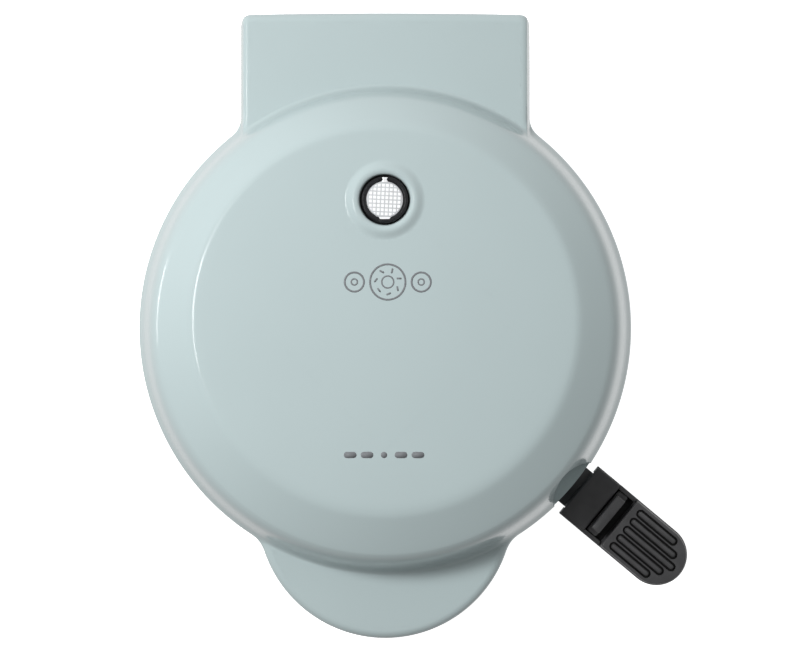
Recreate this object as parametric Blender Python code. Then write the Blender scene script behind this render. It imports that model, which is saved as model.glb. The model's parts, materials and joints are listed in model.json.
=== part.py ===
"""Ring-cake (mini donut) maker: an assembly of separate solids, lid closed, latch folded out.

World frame: metres, +Z up, +Y towards the hinge, origin under the middle of the bounding box.
The shapes below are worked out in millimetres about the plates' axis and scaled by MM.
"""
import math

import bpy
from mathutils import Matrix, Vector

MM = 0.001
GAP = 0.3                       # between neighbouring pieces

# ---- driving dimensions, in millimetres -------------------------------------------------------
BODY_R = 103.0                  # round body
TONGUE_R = 53.5                 # front handle, a round tongue
TONGUE_Y = -76.3
HOOD_HALF = 60.5                # square hood over the hinge
HOOD_REAR = 131.3
HOOD_CORNER = 4.5
WALL = 2.4
LID_TOP = 96.6                  # middle of the lid
BOSS_TOP = 98.0                 # crest of the collar round the lamp window
TONGUE_TOP = 66.0
HOOD_TOP = 72.0
LID_RIM = 50.4
BASE_RIM = 49.6
BASE_R = 101.0
BASE_TONGUE_R = 52.5
BASE_TONGUE_BOTTOM = 38.0
BASE_HALF = 57.5
BASE_REAR = 112.5
BASE_BOTTOM = 8.0
BASE_HOOD_BOTTOM = 12.0
HINGE_Y = 116.0
HINGE_Z = 58.0
KNUCKLE_R = 11.0
KNUCKLE_HALF = 53.0
EAR_R = 8.0
HINGE_PIN_R = 3.0
PLATE_R = 92.0
RING_PITCH = 56.0               # circle of the six outer rings
RING_R = 16.0                   # middle line of each ring cavity
RING_TUBE = 9.0
LAMP_Y = 52.3
LAMP_BORE = 9.8
LATCH_ANGLE = math.radians(-39.9)
LATCH_PIVOT = 109.3             # distance of the latch pin from the plates' axis
LATCH_Z = 46.0
LATCH_BACK = 106.9
LATCH_REACH = 163.3
LATCH_HALF = 13.0
BOTTOM_HOLE = 66.0
SCREW_R = 1.35
SCREW_HEAD_R = 2.7
SCREW_HOLE = 1.65
LEAD_R = 1.1

# The bounding box runs from the latch tip to the round body in X, from hood to tongue in Y.
TIP_CENTRE = LATCH_REACH - LATCH_HALF
TIP_X = TIP_CENTRE * math.cos(LATCH_ANGLE) + LATCH_HALF
AXIS_X = (BODY_R - TIP_X) / 2.0
AXIS_Y = (TONGUE_R - TONGUE_Y - HOOD_REAR) / 2.0
FRAME_SCREWS = ((-25.0, -108.0), (25.0, -108.0), (-48.0, 98.0), (48.0, 98.0))

for old in list(bpy.data.objects):
    bpy.data.objects.remove(old)


# ---- materials --------------------------------------------------------------------------------
def material(name, colour, roughness, metallic=0.0):
    made = bpy.data.materials.new(name)
    made.use_nodes = True
    shader = made.node_tree.nodes["Principled BSDF"]
    shader.inputs["Base Color"].default_value = (*colour, 1.0)
    shader.inputs["Roughness"].default_value = roughness
    shader.inputs["Metallic"].default_value = metallic
    return made


SHELL = material("gloss_shell", (0.47, 0.56, 0.56), 0.18)
FRAME = material("satin_frame", (0.42, 0.51, 0.51), 0.45)
BLACK = material("black_plastic", (0.03, 0.03, 0.032), 0.5)
NONSTICK = material("nonstick_coating", (0.05, 0.05, 0.052), 0.35, 0.4)
STEEL = material("steel", (0.62, 0.62, 0.64), 0.3, 1.0)
TINPLATE = material("aluminised_steel", (0.72, 0.73, 0.74), 0.38, 1.0)
RUBBER = material("rubber", (0.05, 0.05, 0.05), 0.8)
CERAMIC = material("ceramic", (0.85, 0.83, 0.78), 0.6)
CLEAR = material("clear_lens", (0.9, 0.9, 0.9), 0.12)
NEON = material("lamp_glass", (0.85, 0.32, 0.12), 0.2)
WIRE = material("wire_sleeve", (0.75, 0.74, 0.7), 0.7)


# ---- placing ----------------------------------------------------------------------------------
def empty(name, x, y, z, parent=None):
    """An empty at a place given about the plates' axis."""
    pivot = bpy.data.objects.new(name, None)
    bpy.context.collection.objects.link(pivot)
    pivot.parent = parent
    pivot.location = (x * MM, y * MM, z * MM)
    return pivot


plates_axis = empty("plates_axis", AXIS_X, AXIS_Y, 0.0)
lid_pivot = empty("lid_pivot", 0.0, HINGE_Y, HINGE_Z, plates_axis)
latch_dir = Vector((math.cos(LATCH_ANGLE), math.sin(LATCH_ANGLE), 0.0))
latch_pivot = empty("latch_pivot", *(latch_dir * LATCH_PIVOT)[:2], LATCH_Z, plates_axis)


def add_object(name, data, finish, parent):
    thing = bpy.data.objects.new(name, data)
    bpy.context.collection.objects.link(thing)
    if finish:
        data.materials.append(finish)
    thing.parent = parent
    if parent is not plates_axis:
        thing.matrix_parent_inverse = Matrix.Translation(-parent.location)
    return thing


def add_mesh(name, verts, faces, finish=None, parent=None, sharp=35.0):
    """A mesh object from points in millimetres."""
    mesh = bpy.data.meshes.new(name)
    mesh.from_pydata([tuple(c * MM for c in v) for v in verts], [], faces)
    mesh.validate()
    mesh.shade_smooth()
    mesh.set_sharp_from_angle(angle=math.radians(sharp))
    return add_object(name, mesh, finish, parent or plates_axis)


def combine(target, tool, operation):
    """Boolean of a tool object, which stays hidden, into the target."""
    tool.hide_render = True
    tool.display_type = "WIRE"
    tool.parent = target.parent
    tool.matrix_parent_inverse = target.matrix_parent_inverse
    step = target.modifiers.new(tool.name, "BOOLEAN")
    step.operation = operation
    step.object = tool
    step.solver = "EXACT"


def cut(target, tool):
    combine(target, tool, "DIFFERENCE")


def join(target, tool):
    combine(target, tool, "UNION")


# ---- basic solids -----------------------------------------------------------------------------
def turned(name, profile, finish=None, parent=None, centre=(0.0, 0.0, 0.0), axis="Z", count=32):
    """A solid of revolution from a profile of (radius, height), given anticlockwise when closed.

    A profile that starts and ends on the axis makes a plain solid, any other one makes a ring.
    """
    solid = profile[0][0] == 0.0
    inner = profile[1:-1] if solid else profile
    verts = []
    for i in range(count):
        angle = 2.0 * math.pi * i / count
        verts += [(r * math.cos(angle), r * math.sin(angle), h) for r, h in inner]
    n = len(inner)
    spans = n - 1 if solid else n
    faces = []
    for i in range(count):
        a = i * n
        b = ((i + 1) % count) * n
        faces += [(a + k, b + k, b + (k + 1) % n, a + (k + 1) % n) for k in range(spans)]
    if solid:
        rings = ([i * n for i in range(count)], [i * n + n - 1 for i in range(count)])
        for ring, tip, edge in ((rings[0][::-1], profile[0], profile[1]),
                                (rings[1], profile[-1], profile[-2])):
            if tip[1] == edge[1]:
                faces.append(tuple(ring))
                continue
            verts.append((0.0, 0.0, tip[1]))
            faces += [(len(verts) - 1, a, b) for a, b in zip(ring, ring[1:] + ring[:1])]
    place = Matrix.Translation(centre)
    if axis == "X":
        place = place @ Matrix.Rotation(math.pi / 2, 4, "Y")
    elif axis == "Y":
        place = place @ Matrix.Rotation(-math.pi / 2, 4, "X")
    elif axis != "Z":
        place = place @ Vector((0, 0, 1)).rotation_difference(axis).to_matrix().to_4x4()
    return add_mesh(name, [place @ Vector(v) for v in verts], faces, finish, parent)


def rod(name, radius, low, high, finish=None, parent=None, centre=(0, 0, 0), axis="Z", count=20):
    profile = [(0.0, low), (radius, low), (radius, high), (0.0, high)]
    return turned(name, profile, finish, parent, centre, axis, count)


def prism(name, outline, low, high, finish=None, parent=None, to_world=None):
    """An outline of (x, y), anticlockwise, extruded from low to high; to_world maps each point."""
    n = len(outline)
    verts = [(x, y, low) for x, y in outline] + [(x, y, high) for x, y in outline]
    if to_world:
        verts = [to_world @ Vector(v) for v in verts]
    faces = [tuple(reversed(range(n))), tuple(range(n, 2 * n))]
    faces += [(i, (i + 1) % n, n + (i + 1) % n, n + i) for i in range(n)]
    return add_mesh(name, verts, faces, finish, parent)


def block(name, x, y, z, finish=None, parent=None, to_world=None):
    outline = [(x[0], y[0]), (x[1], y[0]), (x[1], y[1]), (x[0], y[1])]
    return prism(name, outline, z[0], z[1], finish, parent, to_world)


def wire(name, points, radius, finish, parent=None, sides=0):
    """A round wire or bar along points, with filled ends."""
    curve = bpy.data.curves.new(name, "CURVE")
    curve.dimensions = "3D"
    curve.bevel_depth = radius * MM
    curve.bevel_resolution = sides
    curve.use_fill_caps = True
    line = curve.splines.new("POLY")
    line.points.add(len(points) - 1)
    for point, place in zip(line.points, points):
        point.co = (*(c * MM for c in place), 1.0)
    return add_object(name, curve, finish, parent or plates_axis)


def smooth_path(corners, per_span=3):
    """Points of a Catmull-Rom curve through the corners."""
    ends = [Vector(c) for c in (corners[0], *corners, corners[-1])]
    points = []
    for a, b, c, d in zip(ends, ends[1:], ends[2:], ends[3:]):
        for k in range(per_span):
            t = k / per_span
            points.append(0.5 * (2 * b + (c - a) * t + (2 * a - 5 * b + 4 * c - d) * t ** 2
                                 + (3 * b - a - 3 * c + d) * t ** 3))
    points.append(ends[-1])
    return points


# ---- shell surfaces ---------------------------------------------------------------------------
def blend_max(a, b, reach):
    """The larger of two heights, with a fillet where they meet."""
    h = max(reach - abs(a - b), 0.0) / reach
    return max(a, b) + h * h * reach / 4.0


def blend_min(a, b, reach):
    return -blend_max(-a, -b, reach)


def box_distance(x, y, half, rear, corner):
    """Signed distance to a round-cornered box that runs from the middle to the rear."""
    dx = abs(x) - half + corner
    dy = abs(y - rear / 2.0) - rear / 2.0 + corner
    outside = math.hypot(max(dx, 0.0), max(dy, 0.0))
    return outside + min(max(dx, dy), 0.0) - corner


def plan_distance(x, y, body_r, tongue_r, half, rear):
    """Signed distance to the plan outline: round body, tongue and hood with small fillets."""
    body = math.hypot(x, y) - body_r
    tongue = math.hypot(x, y - TONGUE_Y) - tongue_r
    hood = box_distance(x, y, half, rear, HOOD_CORNER)
    return blend_min(blend_min(body, tongue, 3.0), hood, 4.0)


def lid_plan(x, y):
    return plan_distance(x, y, BODY_R, TONGUE_R, HOOD_HALF, HOOD_REAR)


def base_plan(x, y):
    return plan_distance(x, y, BASE_R, BASE_TONGUE_R, BASE_HALF, BASE_REAR)


def round_over(distance, radius):
    """How far an edge with this radius has dropped at a signed distance from the outline."""
    inside = min(max(radius + distance, 0.0), radius)
    return radius - math.sqrt(radius * radius - inside * inside)


def along(profile, r):
    """Height on a turned profile, straight between its points and beyond the last two."""
    for (r0, z0), (r1, z1) in zip(profile, profile[1:]):
        if r <= r1:
            break
    return z0 + (z1 - z0) * (r - r0) / (r1 - r0)


DOME = ((0.0, LID_TOP), (54.0, 96.2), (78.0, 95.5), (81.0, 94.9), (84.0, 93.6), (88.0, 91.1),
        (92.0, 87.9), (94.6, 85.0), (96.4, 81.5), (98.5, 75.5), (101.7, 64.0), (103.5, 54.0))
BOWL = ((0.0, BASE_BOTTOM), (80.0, BASE_BOTTOM), (85.0, 8.9), (89.5, 11.8), (93.0, 17.0),
        (96.0, 25.5), (98.5, 36.0), (BASE_R, BASE_RIM), (102.5, 60.0))


def latch_coordinates(x, y):
    return x * latch_dir.x + y * latch_dir.y, y * latch_dir.x - x * latch_dir.y


POCKET_CENTRE = 111.5           # the latch pocket is a round scoop in the lid's skirt
POCKET_R = 16.0
LEDGE_Z = 56.6


def lid_height(x, y):
    """Height of the lid's outer surface."""
    flange = TONGUE_TOP - round_over(lid_plan(x, y), 3.5)
    hood_side = max(abs(x) - HOOD_HALF + 1.5, 0.0)
    hood = HOOD_TOP - round_over(lid_plan(x, y), 4.0) - 4.0 * hood_side
    if y < 60.0:
        hood = flange
    height = blend_max(along(DOME, math.hypot(x, y)), max(flange, hood), 4.0)
    reach, side = latch_coordinates(x, y)
    if reach > 0.0:
        depth = POCKET_R - math.hypot(reach - POCKET_CENTRE, side)
        if depth > -4.0:
            height = blend_min(height, max(LEDGE_Z, 84.0 - 24.0 * depth), 1.5)
    return height


def base_depth(x, y):
    """Height of the base's outer underside."""
    bowl = along(BOWL, math.hypot(x, y))
    under_tongue = BASE_TONGUE_BOTTOM + round_over(base_plan(x, y), 4.0)
    tongue_side = max(math.hypot(x, y - TONGUE_Y) - BASE_TONGUE_R + 1.0, 0.0)
    height = blend_min(bowl, under_tongue + 6.0 * tongue_side, 4.0)
    if y > 40.0:
        hood_side = max(abs(x) - BASE_HALF + 1.0, 0.0)
        under_hood = BASE_HOOD_BOTTOM + round_over(base_plan(x, y), 6.0) + 6.0 * hood_side
        height = blend_min(height, under_hood, 4.0)
    return height


def resample(points, count, step, turn, crowd=None):
    """Points of a fine polyline, closer together where it bends; the ends are kept.

    crowd gives how many times denser the points are at a place.
    """
    weights = [0.0]
    for i in range(1, len(points)):
        length = (points[i] - points[i - 1]).length
        bend = 0.0
        if 1 < i:
            before = points[i - 1] - points[i - 2]
            after = points[i] - points[i - 1]
            if before.length > 0.0 and after.length > 0.0:
                bend = before.angle(after)
        share = length / step * (crowd(points[i]) if crowd else 1.0)
        weights.append(weights[-1] + share + bend / turn)
    chosen = []
    k = 0
    for j in range(count):
        goal = weights[-1] * j / (count - 1)
        while k < len(points) - 2 and weights[k + 1] < goal:
            k += 1
        share = (goal - weights[k]) / max(weights[k + 1] - weights[k], 1e-9)
        chosen.append(points[k].lerp(points[k + 1], min(max(share, 0.0), 1.0)))
    return chosen


def plan_outline(distance, fine=1440):
    """Fine points of an outline about the middle, where its signed distance is zero."""
    points = []
    for i in range(fine + 1):
        angle = 2.0 * math.pi * (i % fine) / fine - math.pi / 2.0
        low, high = 60.0, 160.0
        for _ in range(22):
            middle = (low + high) / 2.0
            if distance(middle * math.cos(angle), middle * math.sin(angle)) < 0.0:
                low = middle
            else:
                high = middle
        points.append(Vector((low * math.cos(angle), low * math.sin(angle), 0.0)))
    return points


def shell(name, distance, height, rim, start, stations, rings, parent, up):
    """A shell with its wall: a height field out to the outline, then straight to the rim.

    start is the radius of a round hole in the middle, or 0 for none.
    """
    def crowd(point):
        reach, side = latch_coordinates(point.x, point.y)
        return 8.0 if up and reach > 0.0 and abs(side) < 15.0 else 1.0
    outline = resample(plan_outline(distance), stations + 1, 11.0, math.radians(20.0), crowd)[:-1]
    verts = []
    for edge in outline:
        reach = edge.length
        heading = edge.normalized()
        section = []
        for i in range(241):
            r = start + (reach - start) * i / 240.0
            x, y = heading.x * r, heading.y * r
            section.append(Vector((x, y, height(x, y))))
        section.append(Vector((edge.x, edge.y, rim)))
        verts += resample(section, rings + 1, 14.0, math.radians(17.0))[(0 if start else 1):]
    n = rings + 1 if start else rings
    faces = []
    for i in range(stations):
        a = i * n
        b = ((i + 1) % stations) * n
        faces += [(a + k, a + k + 1, b + k + 1, b + k) for k in range(n - 1)]
        if not start:
            faces.append((len(outline) * n, a, b))
    if not start:
        verts.append((0.0, 0.0, height(0.0, 0.0)))
    if not up:
        faces = [tuple(reversed(f)) for f in faces]
    body = add_mesh(name, verts, faces, SHELL, parent, sharp=50.0)
    wall = body.modifiers.new("wall", "SOLIDIFY")
    wall.thickness = WALL * MM
    wall.offset = -1.0
    wall.use_even_offset = False
    wall.thickness_clamp = 0.0
    return body


def inset_outline(distance, inset, count):
    """An outline set in from a plan by a distance, as (x, y) points."""
    def inner(x, y):
        return distance(x, y) + inset
    points = resample(plan_outline(inner), count + 1, 14.0, math.radians(24.0))[:-1]
    return [(p.x, p.y) for p in points]


# ---- shared piece makers ----------------------------------------------------------------------
def screw(name, x, y, head_z, length, points_up, parent):
    """A pan-head screw, its head's bearing face at head_z."""
    sign = 1.0 if points_up else -1.0
    heights = (-1.6 * sign, -0.6 * sign, 0.0, length * sign)
    profile = [(0.0, heights[0]), (1.9, heights[0]), (SCREW_HEAD_R, heights[1]),
               (SCREW_HEAD_R, heights[2]), (SCREW_R, heights[2]), (SCREW_R, heights[3]),
               (0.0, heights[3])]
    if not points_up:
        profile.reverse()
    turned(name, profile, STEEL, parent, (x, y, head_z), count=10)


def screw_post(shell_body, x, y, low, high, mouth_up):
    """A post with a blind hole, joined to a shell."""
    tag = f"{shell_body.name}_post_{x:.0f}_{y:.0f}".replace("-", "m")
    join(shell_body, rod(tag, 3.6, low, high, centre=(x, y, 0.0), count=10))
    hole = (high - 12.0, high + 1.0) if mouth_up else (low - 1.0, low + 12.0)
    if high - low < 14.0:
        hole = (low + 2.2, high + 1.0) if mouth_up else (low - 1.0, high - 4.0)
    cut(shell_body, rod(tag + "_hole", SCREW_HOLE, *hole, centre=(x, y, 0.0), count=10))


def ring_places():
    """The middle ring, then six on a circle."""
    places = [(0.0, 0.0)]
    for k in range(6):
        angle = math.radians(60.0 * k + 30.0)
        places.append((RING_PITCH * math.cos(angle), RING_PITCH * math.sin(angle)))
    return places


def cooking_plate(name, face, away, parent):
    """A die-cast plate with seven ring cavities sunk from its face; away is +1 or -1 in Z."""
    near, far = sorted((face, face + 3.5 * away))
    plate = rod(name, PLATE_R, near, far, NONSTICK, parent, count=36)
    low, high = sorted((face + 2.0 * away, face + 11.6 * away))
    for k, (x, y) in enumerate(ring_places()):
        join(plate, rod(f"{name}_boss_{k}", 27.2, low, high, centre=(x, y, 0.0), count=14))
    for k, (x, y) in enumerate(ring_places()):
        circle = [(RING_R + RING_TUBE * math.cos(a), RING_TUBE * math.sin(a))
                  for a in (2.0 * math.pi * i / 8 for i in range(8))]
        cut(plate, turned(f"{name}_ring_{k}", circle, centre=(x, y, face), count=14))
    return plate


def reflector(name, floor, lip, parent):
    """A thin pan behind a plate, open towards it, with holes for the element's ends."""
    sheet = 0.8 if lip > floor else -0.8
    profile = [(12.0, floor), (82.0, floor), (86.0, lip), (85.2, lip), (81.4, floor + sheet),
               (12.0, floor + sheet)]
    if lip < floor:
        profile.reverse()
    pan = turned(name, profile, TINPLATE, parent, count=30)
    low, high = sorted((floor - sheet, floor + 2 * sheet))
    for side in (-1, 1):
        cut(pan, rod(f"{name}_lead_hole_{side + 1}", 5.5, low, high, centre=(8.0 * side, 44.0, 0.0),
                     count=10))
    return pan


def plate_clips(name, low, high, parent):
    """Three spring-steel clips that hold a plate's edge to its frame."""
    for k in range(3):
        turn = Matrix.Rotation(math.radians(60.0 + 120.0 * k), 4, "Z")
        clip = block(f"{name}_clip_{k + 1}", (88.0, 95.2), (-5.0, 5.0), (low, high), TINPLATE,
                     parent, turn)
        edge = clip.modifiers.new("edge", "BEVEL")
        edge.width = 0.3 * MM
        edge.segments = 1


def heating_element(name, z, away, parent):
    """A sheathed rod bent into an open ring, its cold ends turned away from the plate."""
    gap = math.asin(8.0 / 44.0)
    count = 22
    ring = []
    for i in range(count + 1):
        angle = math.pi / 2 + gap + (2 * math.pi - 2 * gap) * i / count
        ring.append((44.0 * math.cos(angle), 44.0 * math.sin(angle), z))
    tail = [(ring[0][0], ring[0][1], z + 12.0 * away), (ring[0][0], ring[0][1], z + 4.0 * away)]
    head = [(ring[-1][0], ring[-1][1], z + 4.0 * away), (ring[-1][0], ring[-1][1], z + 12.0 * away)]
    return wire(name, tail + ring + head, 3.0, STEEL, parent, sides=1)


# ---- base -------------------------------------------------------------------------------------
def make_base():
    lower_shell = shell("lower_shell", base_plan, base_depth, BASE_RIM + 1.0, BOTTOM_HOLE, 48, 7,
                        plates_axis, up=False)
    cut(lower_shell, block("rim_trim", (-140.0, 140.0), (-140.0, 140.0), (BASE_RIM, 60.0)))
    cut(lower_shell, block("barrel_notch", (-KNUCKLE_HALF - 0.6, KNUCKLE_HALF + 0.6),
                           (104.0, 116.0), (HINGE_Z - KNUCKLE_R - 0.5, 60.0)))
    for x, y in FRAME_SCREWS:
        floor = (BASE_HOOD_BOTTOM if y > 0.0 else BASE_TONGUE_BOTTOM) + 1.5
        screw_post(lower_shell, x, y, floor, 46.0, mouth_up=True)
    for k in range(4):
        angle = math.pi / 2 * k
        x, y = 71.5 * math.cos(angle), 71.5 * math.sin(angle)
        join(lower_shell, rod(f"cover_post_{k}", 4.2, 9.0, 19.0, centre=(x, y, 0.0), count=10))
        cut(lower_shell, rod(f"cover_hole_{k}", SCREW_HOLE, 7.0, 17.0, centre=(x, y, 0.0), count=10))
        screw(f"cover_screw_{k + 1}", x, y, 4.9, 10.5, True, plates_axis)
    cut(lower_shell, rod("gland_hole", 7.3, -6.0, 6.0, centre=(0.0, BASE_REAR, 28.0), axis="Y",
                         count=16))
    cut(lower_shell, rod("latch_screw_hole", SCREW_HOLE, 92.0, 104.0, centre=(0.0, 0.0, 38.4),
                         axis=latch_dir, count=12))

    cover = rod("bottom_cover", 79.0, 5.2, 7.7, BLACK, plates_axis, count=44)
    for k in range(4):
        angle = math.pi / 2 * k
        place = (71.5 * math.cos(angle), 71.5 * math.sin(angle), 0.0)
        cut(cover, rod(f"cover_clearance_{k}", SCREW_HOLE + 0.1, 4.0, 9.0, centre=place, count=12))
    for k in range(-3, 4):
        half = 24.0 - 2.5 * abs(k)
        cut(cover, block(f"vent_{k + 3}", (-half, half), (8.0 * k - 1.6, 8.0 * k + 1.6), (4.0, 9.0)))

    for name, sx, sy in (("front_left", -1, -1), ("front_right", 1, -1), ("rear_left", -1, 1),
                         ("rear_right", 1, 1)):
        profile = [(0.0, 0.0), (6.6, 0.0), (7.6, 1.0), (8.4, 4.9), (0.0, 4.9)]
        turned(f"foot_{name}", profile, RUBBER, centre=(47.0 * sx, 47.0 * sy, 0.0), count=18)

    lower_frame = prism("lower_frame", inset_outline(base_plan, 4.2, 48), 46.6, BASE_RIM, FRAME)
    cut(lower_frame, rod("lower_frame_opening", PLATE_R + 1.0, 45.0, 51.0, count=36))
    barrel = rod("barrel", KNUCKLE_R, -KNUCKLE_HALF, KNUCKLE_HALF, centre=(0.0, HINGE_Y, HINGE_Z),
                 axis="X", count=32)
    join(lower_frame, barrel)
    join(lower_frame, block("barrel_foot", (-KNUCKLE_HALF, KNUCKLE_HALF), (105.0, 109.4),
                            (47.0, HINGE_Z)))
    for side in (-1, 1):
        low, high = sorted((43.5 * side, 54.0 * side))
        cut(lower_frame, rod(f"pin_socket_{side + 1}", HINGE_PIN_R + 0.35, low, high,
                             centre=(0.0, HINGE_Y, HINGE_Z), axis="X", count=20))
        low, high = sorted((44.5 * side, 56.5 * side))
        rod("hinge_pin_" + ("left" if side < 0 else "right"), HINGE_PIN_R, low, high, STEEL,
            plates_axis, (0.0, HINGE_Y, HINGE_Z), "X", 20)
    for k, (x, y) in enumerate(FRAME_SCREWS):
        cut(lower_frame, rod(f"lower_seat_{k}", SCREW_HEAD_R + GAP, 47.9, 51.0,
                             centre=(x, y, 0.0), count=10))
        cut(lower_frame, rod(f"lower_through_{k}", SCREW_HOLE, 45.0, 51.0, centre=(x, y, 0.0),
                             count=12))
        shank = 9.0 if y > 0.0 else 5.6
        screw(f"base_frame_screw_{k + 1}", x, y, 47.95, shank, False, plates_axis)

    cooking_plate("lower_plate", 49.7, -1.0, plates_axis)
    heating_element("lower_heating_element", 34.6, -1.0, plates_axis)
    reflector("lower_reflector", 26.0, 37.0, plates_axis)
    plate_clips("lower_plate", 44.6, 45.8, plates_axis)
    make_base_electrics()
    make_latch()


def make_base_electrics():
    profile = [(0.0, 30.6), (3.0, 30.6), (3.0, 33.0), (8.2, 33.0), (8.2, 37.7), (0.0, 37.7)]
    turned("thermostat", profile, CERAMIC, centre=(0.0, 0.0, 0.0), count=20)
    rod("thermal_fuse", 2.2, -9.0, 9.0, CERAMIC, plates_axis, (0.0, 24.0, 30.0), "X", 12)
    terminal = block("terminal_block", (-17.0, 17.0), (88.0, 99.0), (14.8, 25.0), CERAMIC)
    for k in (-1, 0, 1):
        cut(terminal, rod(f"terminal_screw_hole_{k + 1}", 2.2, 14.0, 22.0,
                          centre=(11.0 * k, 93.5, 4.0), count=12))
    turned("cord_gland", [(3.7, -10.0), (7.0, -10.0), (7.0, 0.35), (9.0, 0.35), (9.0, 2.4),
                          (8.0, 3.4), (3.7, 3.4)],
           BLACK, centre=(0.0, BASE_REAR, 28.0), axis="Y", count=16)
    for name, side in (("live_lead", -1), ("neutral_lead", 1)):
        route = ((5.0 * side, 86.5, 20.0), (6.0 * side, 80.0, 20.0), (10.0 * side, 60.0, 20.0),
                 (9.0 * side, 48.0, 19.5), (8.0 * side, 44.5, 20.6))
        wire(name, smooth_path(route), LEAD_R, WIRE)
    wire("thermostat_lead", smooth_path(((0.0, 0.0, 30.2), (0.0, 1.0, 23.0), (4.0, 12.0, 20.0),
                                         (20.0, 45.0, 17.0), (20.0, 72.0, 18.0),
                                         (12.0, 86.5, 20.0))), LEAD_R, WIRE)


# ---- latch ------------------------------------------------------------------------------------
def latch_space():
    """Maps (reach from the plates' axis, sideways, height) to the body's own axes."""
    return Matrix.Rotation(LATCH_ANGLE, 4, "Z")


def arc(cx, cy, radius, start, end, count):
    return [(cx + radius * math.cos(math.radians(start + (end - start) * i / count)),
             cy + radius * math.sin(math.radians(start + (end - start) * i / count)))
            for i in range(count + 1)]


def make_latch():
    """A bracket on the base's wall, and a lever on a pin through it."""
    upright = latch_space() @ Matrix.Rotation(math.pi / 2, 4, "X")
    profile = [(101.3, 33.0), (103.4, 33.0), (104.4, 36.2), (109.6, 41.4)]
    profile += arc(LATCH_PIVOT, LATCH_Z, 2.6, -60.0, 200.0, 10)
    profile += [(106.9, 42.8), (101.3, 42.8)]
    bracket = prism("latch_bracket", profile, -9.3, 9.3, BLACK, plates_axis, upright)
    across = latch_space() @ Vector((0.0, 1.0, 0.0))
    pivot = latch_space() @ Vector((LATCH_PIVOT, 0.0, LATCH_Z))
    cut(bracket, rod("bracket_bore", 1.8, -10.0, 10.0, centre=pivot, axis=across, count=16))
    cut(bracket, rod("bracket_screw_hole", SCREW_HOLE, 100.0, 110.0, centre=(0.0, 0.0, 38.4),
                     axis=latch_dir, count=12))
    rod("latch_pin", 1.5, -12.6, 12.6, STEEL, plates_axis, pivot, across, 16)
    rod("latch_screw", SCREW_R, 90.0, 103.0, STEEL, plates_axis, (0.0, 0.0, 38.4), latch_dir, 12)

    turn = latch_space()
    outline = [(LATCH_BACK + 2.0, -LATCH_HALF)]
    outline += arc(TIP_CENTRE, 0.0, LATCH_HALF, -90.0, 90.0, 16)
    outline += [(LATCH_BACK + 2.0, LATCH_HALF), (LATCH_BACK, LATCH_HALF - 2.0),
                (LATCH_BACK, -LATCH_HALF + 2.0)]
    lever = prism("latch_lever", outline, 43.4, 48.6, BLACK, latch_pivot, turn)
    join(lever, block("lever_top", (LATCH_BACK + 0.15, 119.2),
                      (-LATCH_HALF + 0.4, LATCH_HALF - 0.4), (47.9, 50.5), to_world=turn))
    join(lever, block("lever_hook", (120.5, 124.9), (-8.8, 8.8), (47.4, 54.0), to_world=turn))
    for k, end in ((-2, 152.6), (-1, 156.2), (0, 158.9), (1, 156.2), (2, 152.6)):
        side = 4.45 * k
        rib = [(132.5, side - 1.0), (end, side - 1.0), (end, side + 1.0), (132.5, side + 1.0)]
        join(lever, prism(f"lever_rib_{k + 2}", rib, 48.0, 49.8, to_world=turn))
    cut(lever, block("lever_slot", (104.0, 113.6), (-9.7, 9.7), (40.0, 48.9), to_world=turn))
    cut(lever, block("lever_hollow", (116.0, 151.4), (-10.6, 10.6), (42.0, 46.6), to_world=turn))
    cut(lever, rod("lever_bore", 1.85, -13.5, 13.5, centre=pivot, axis=across, count=16))


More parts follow.
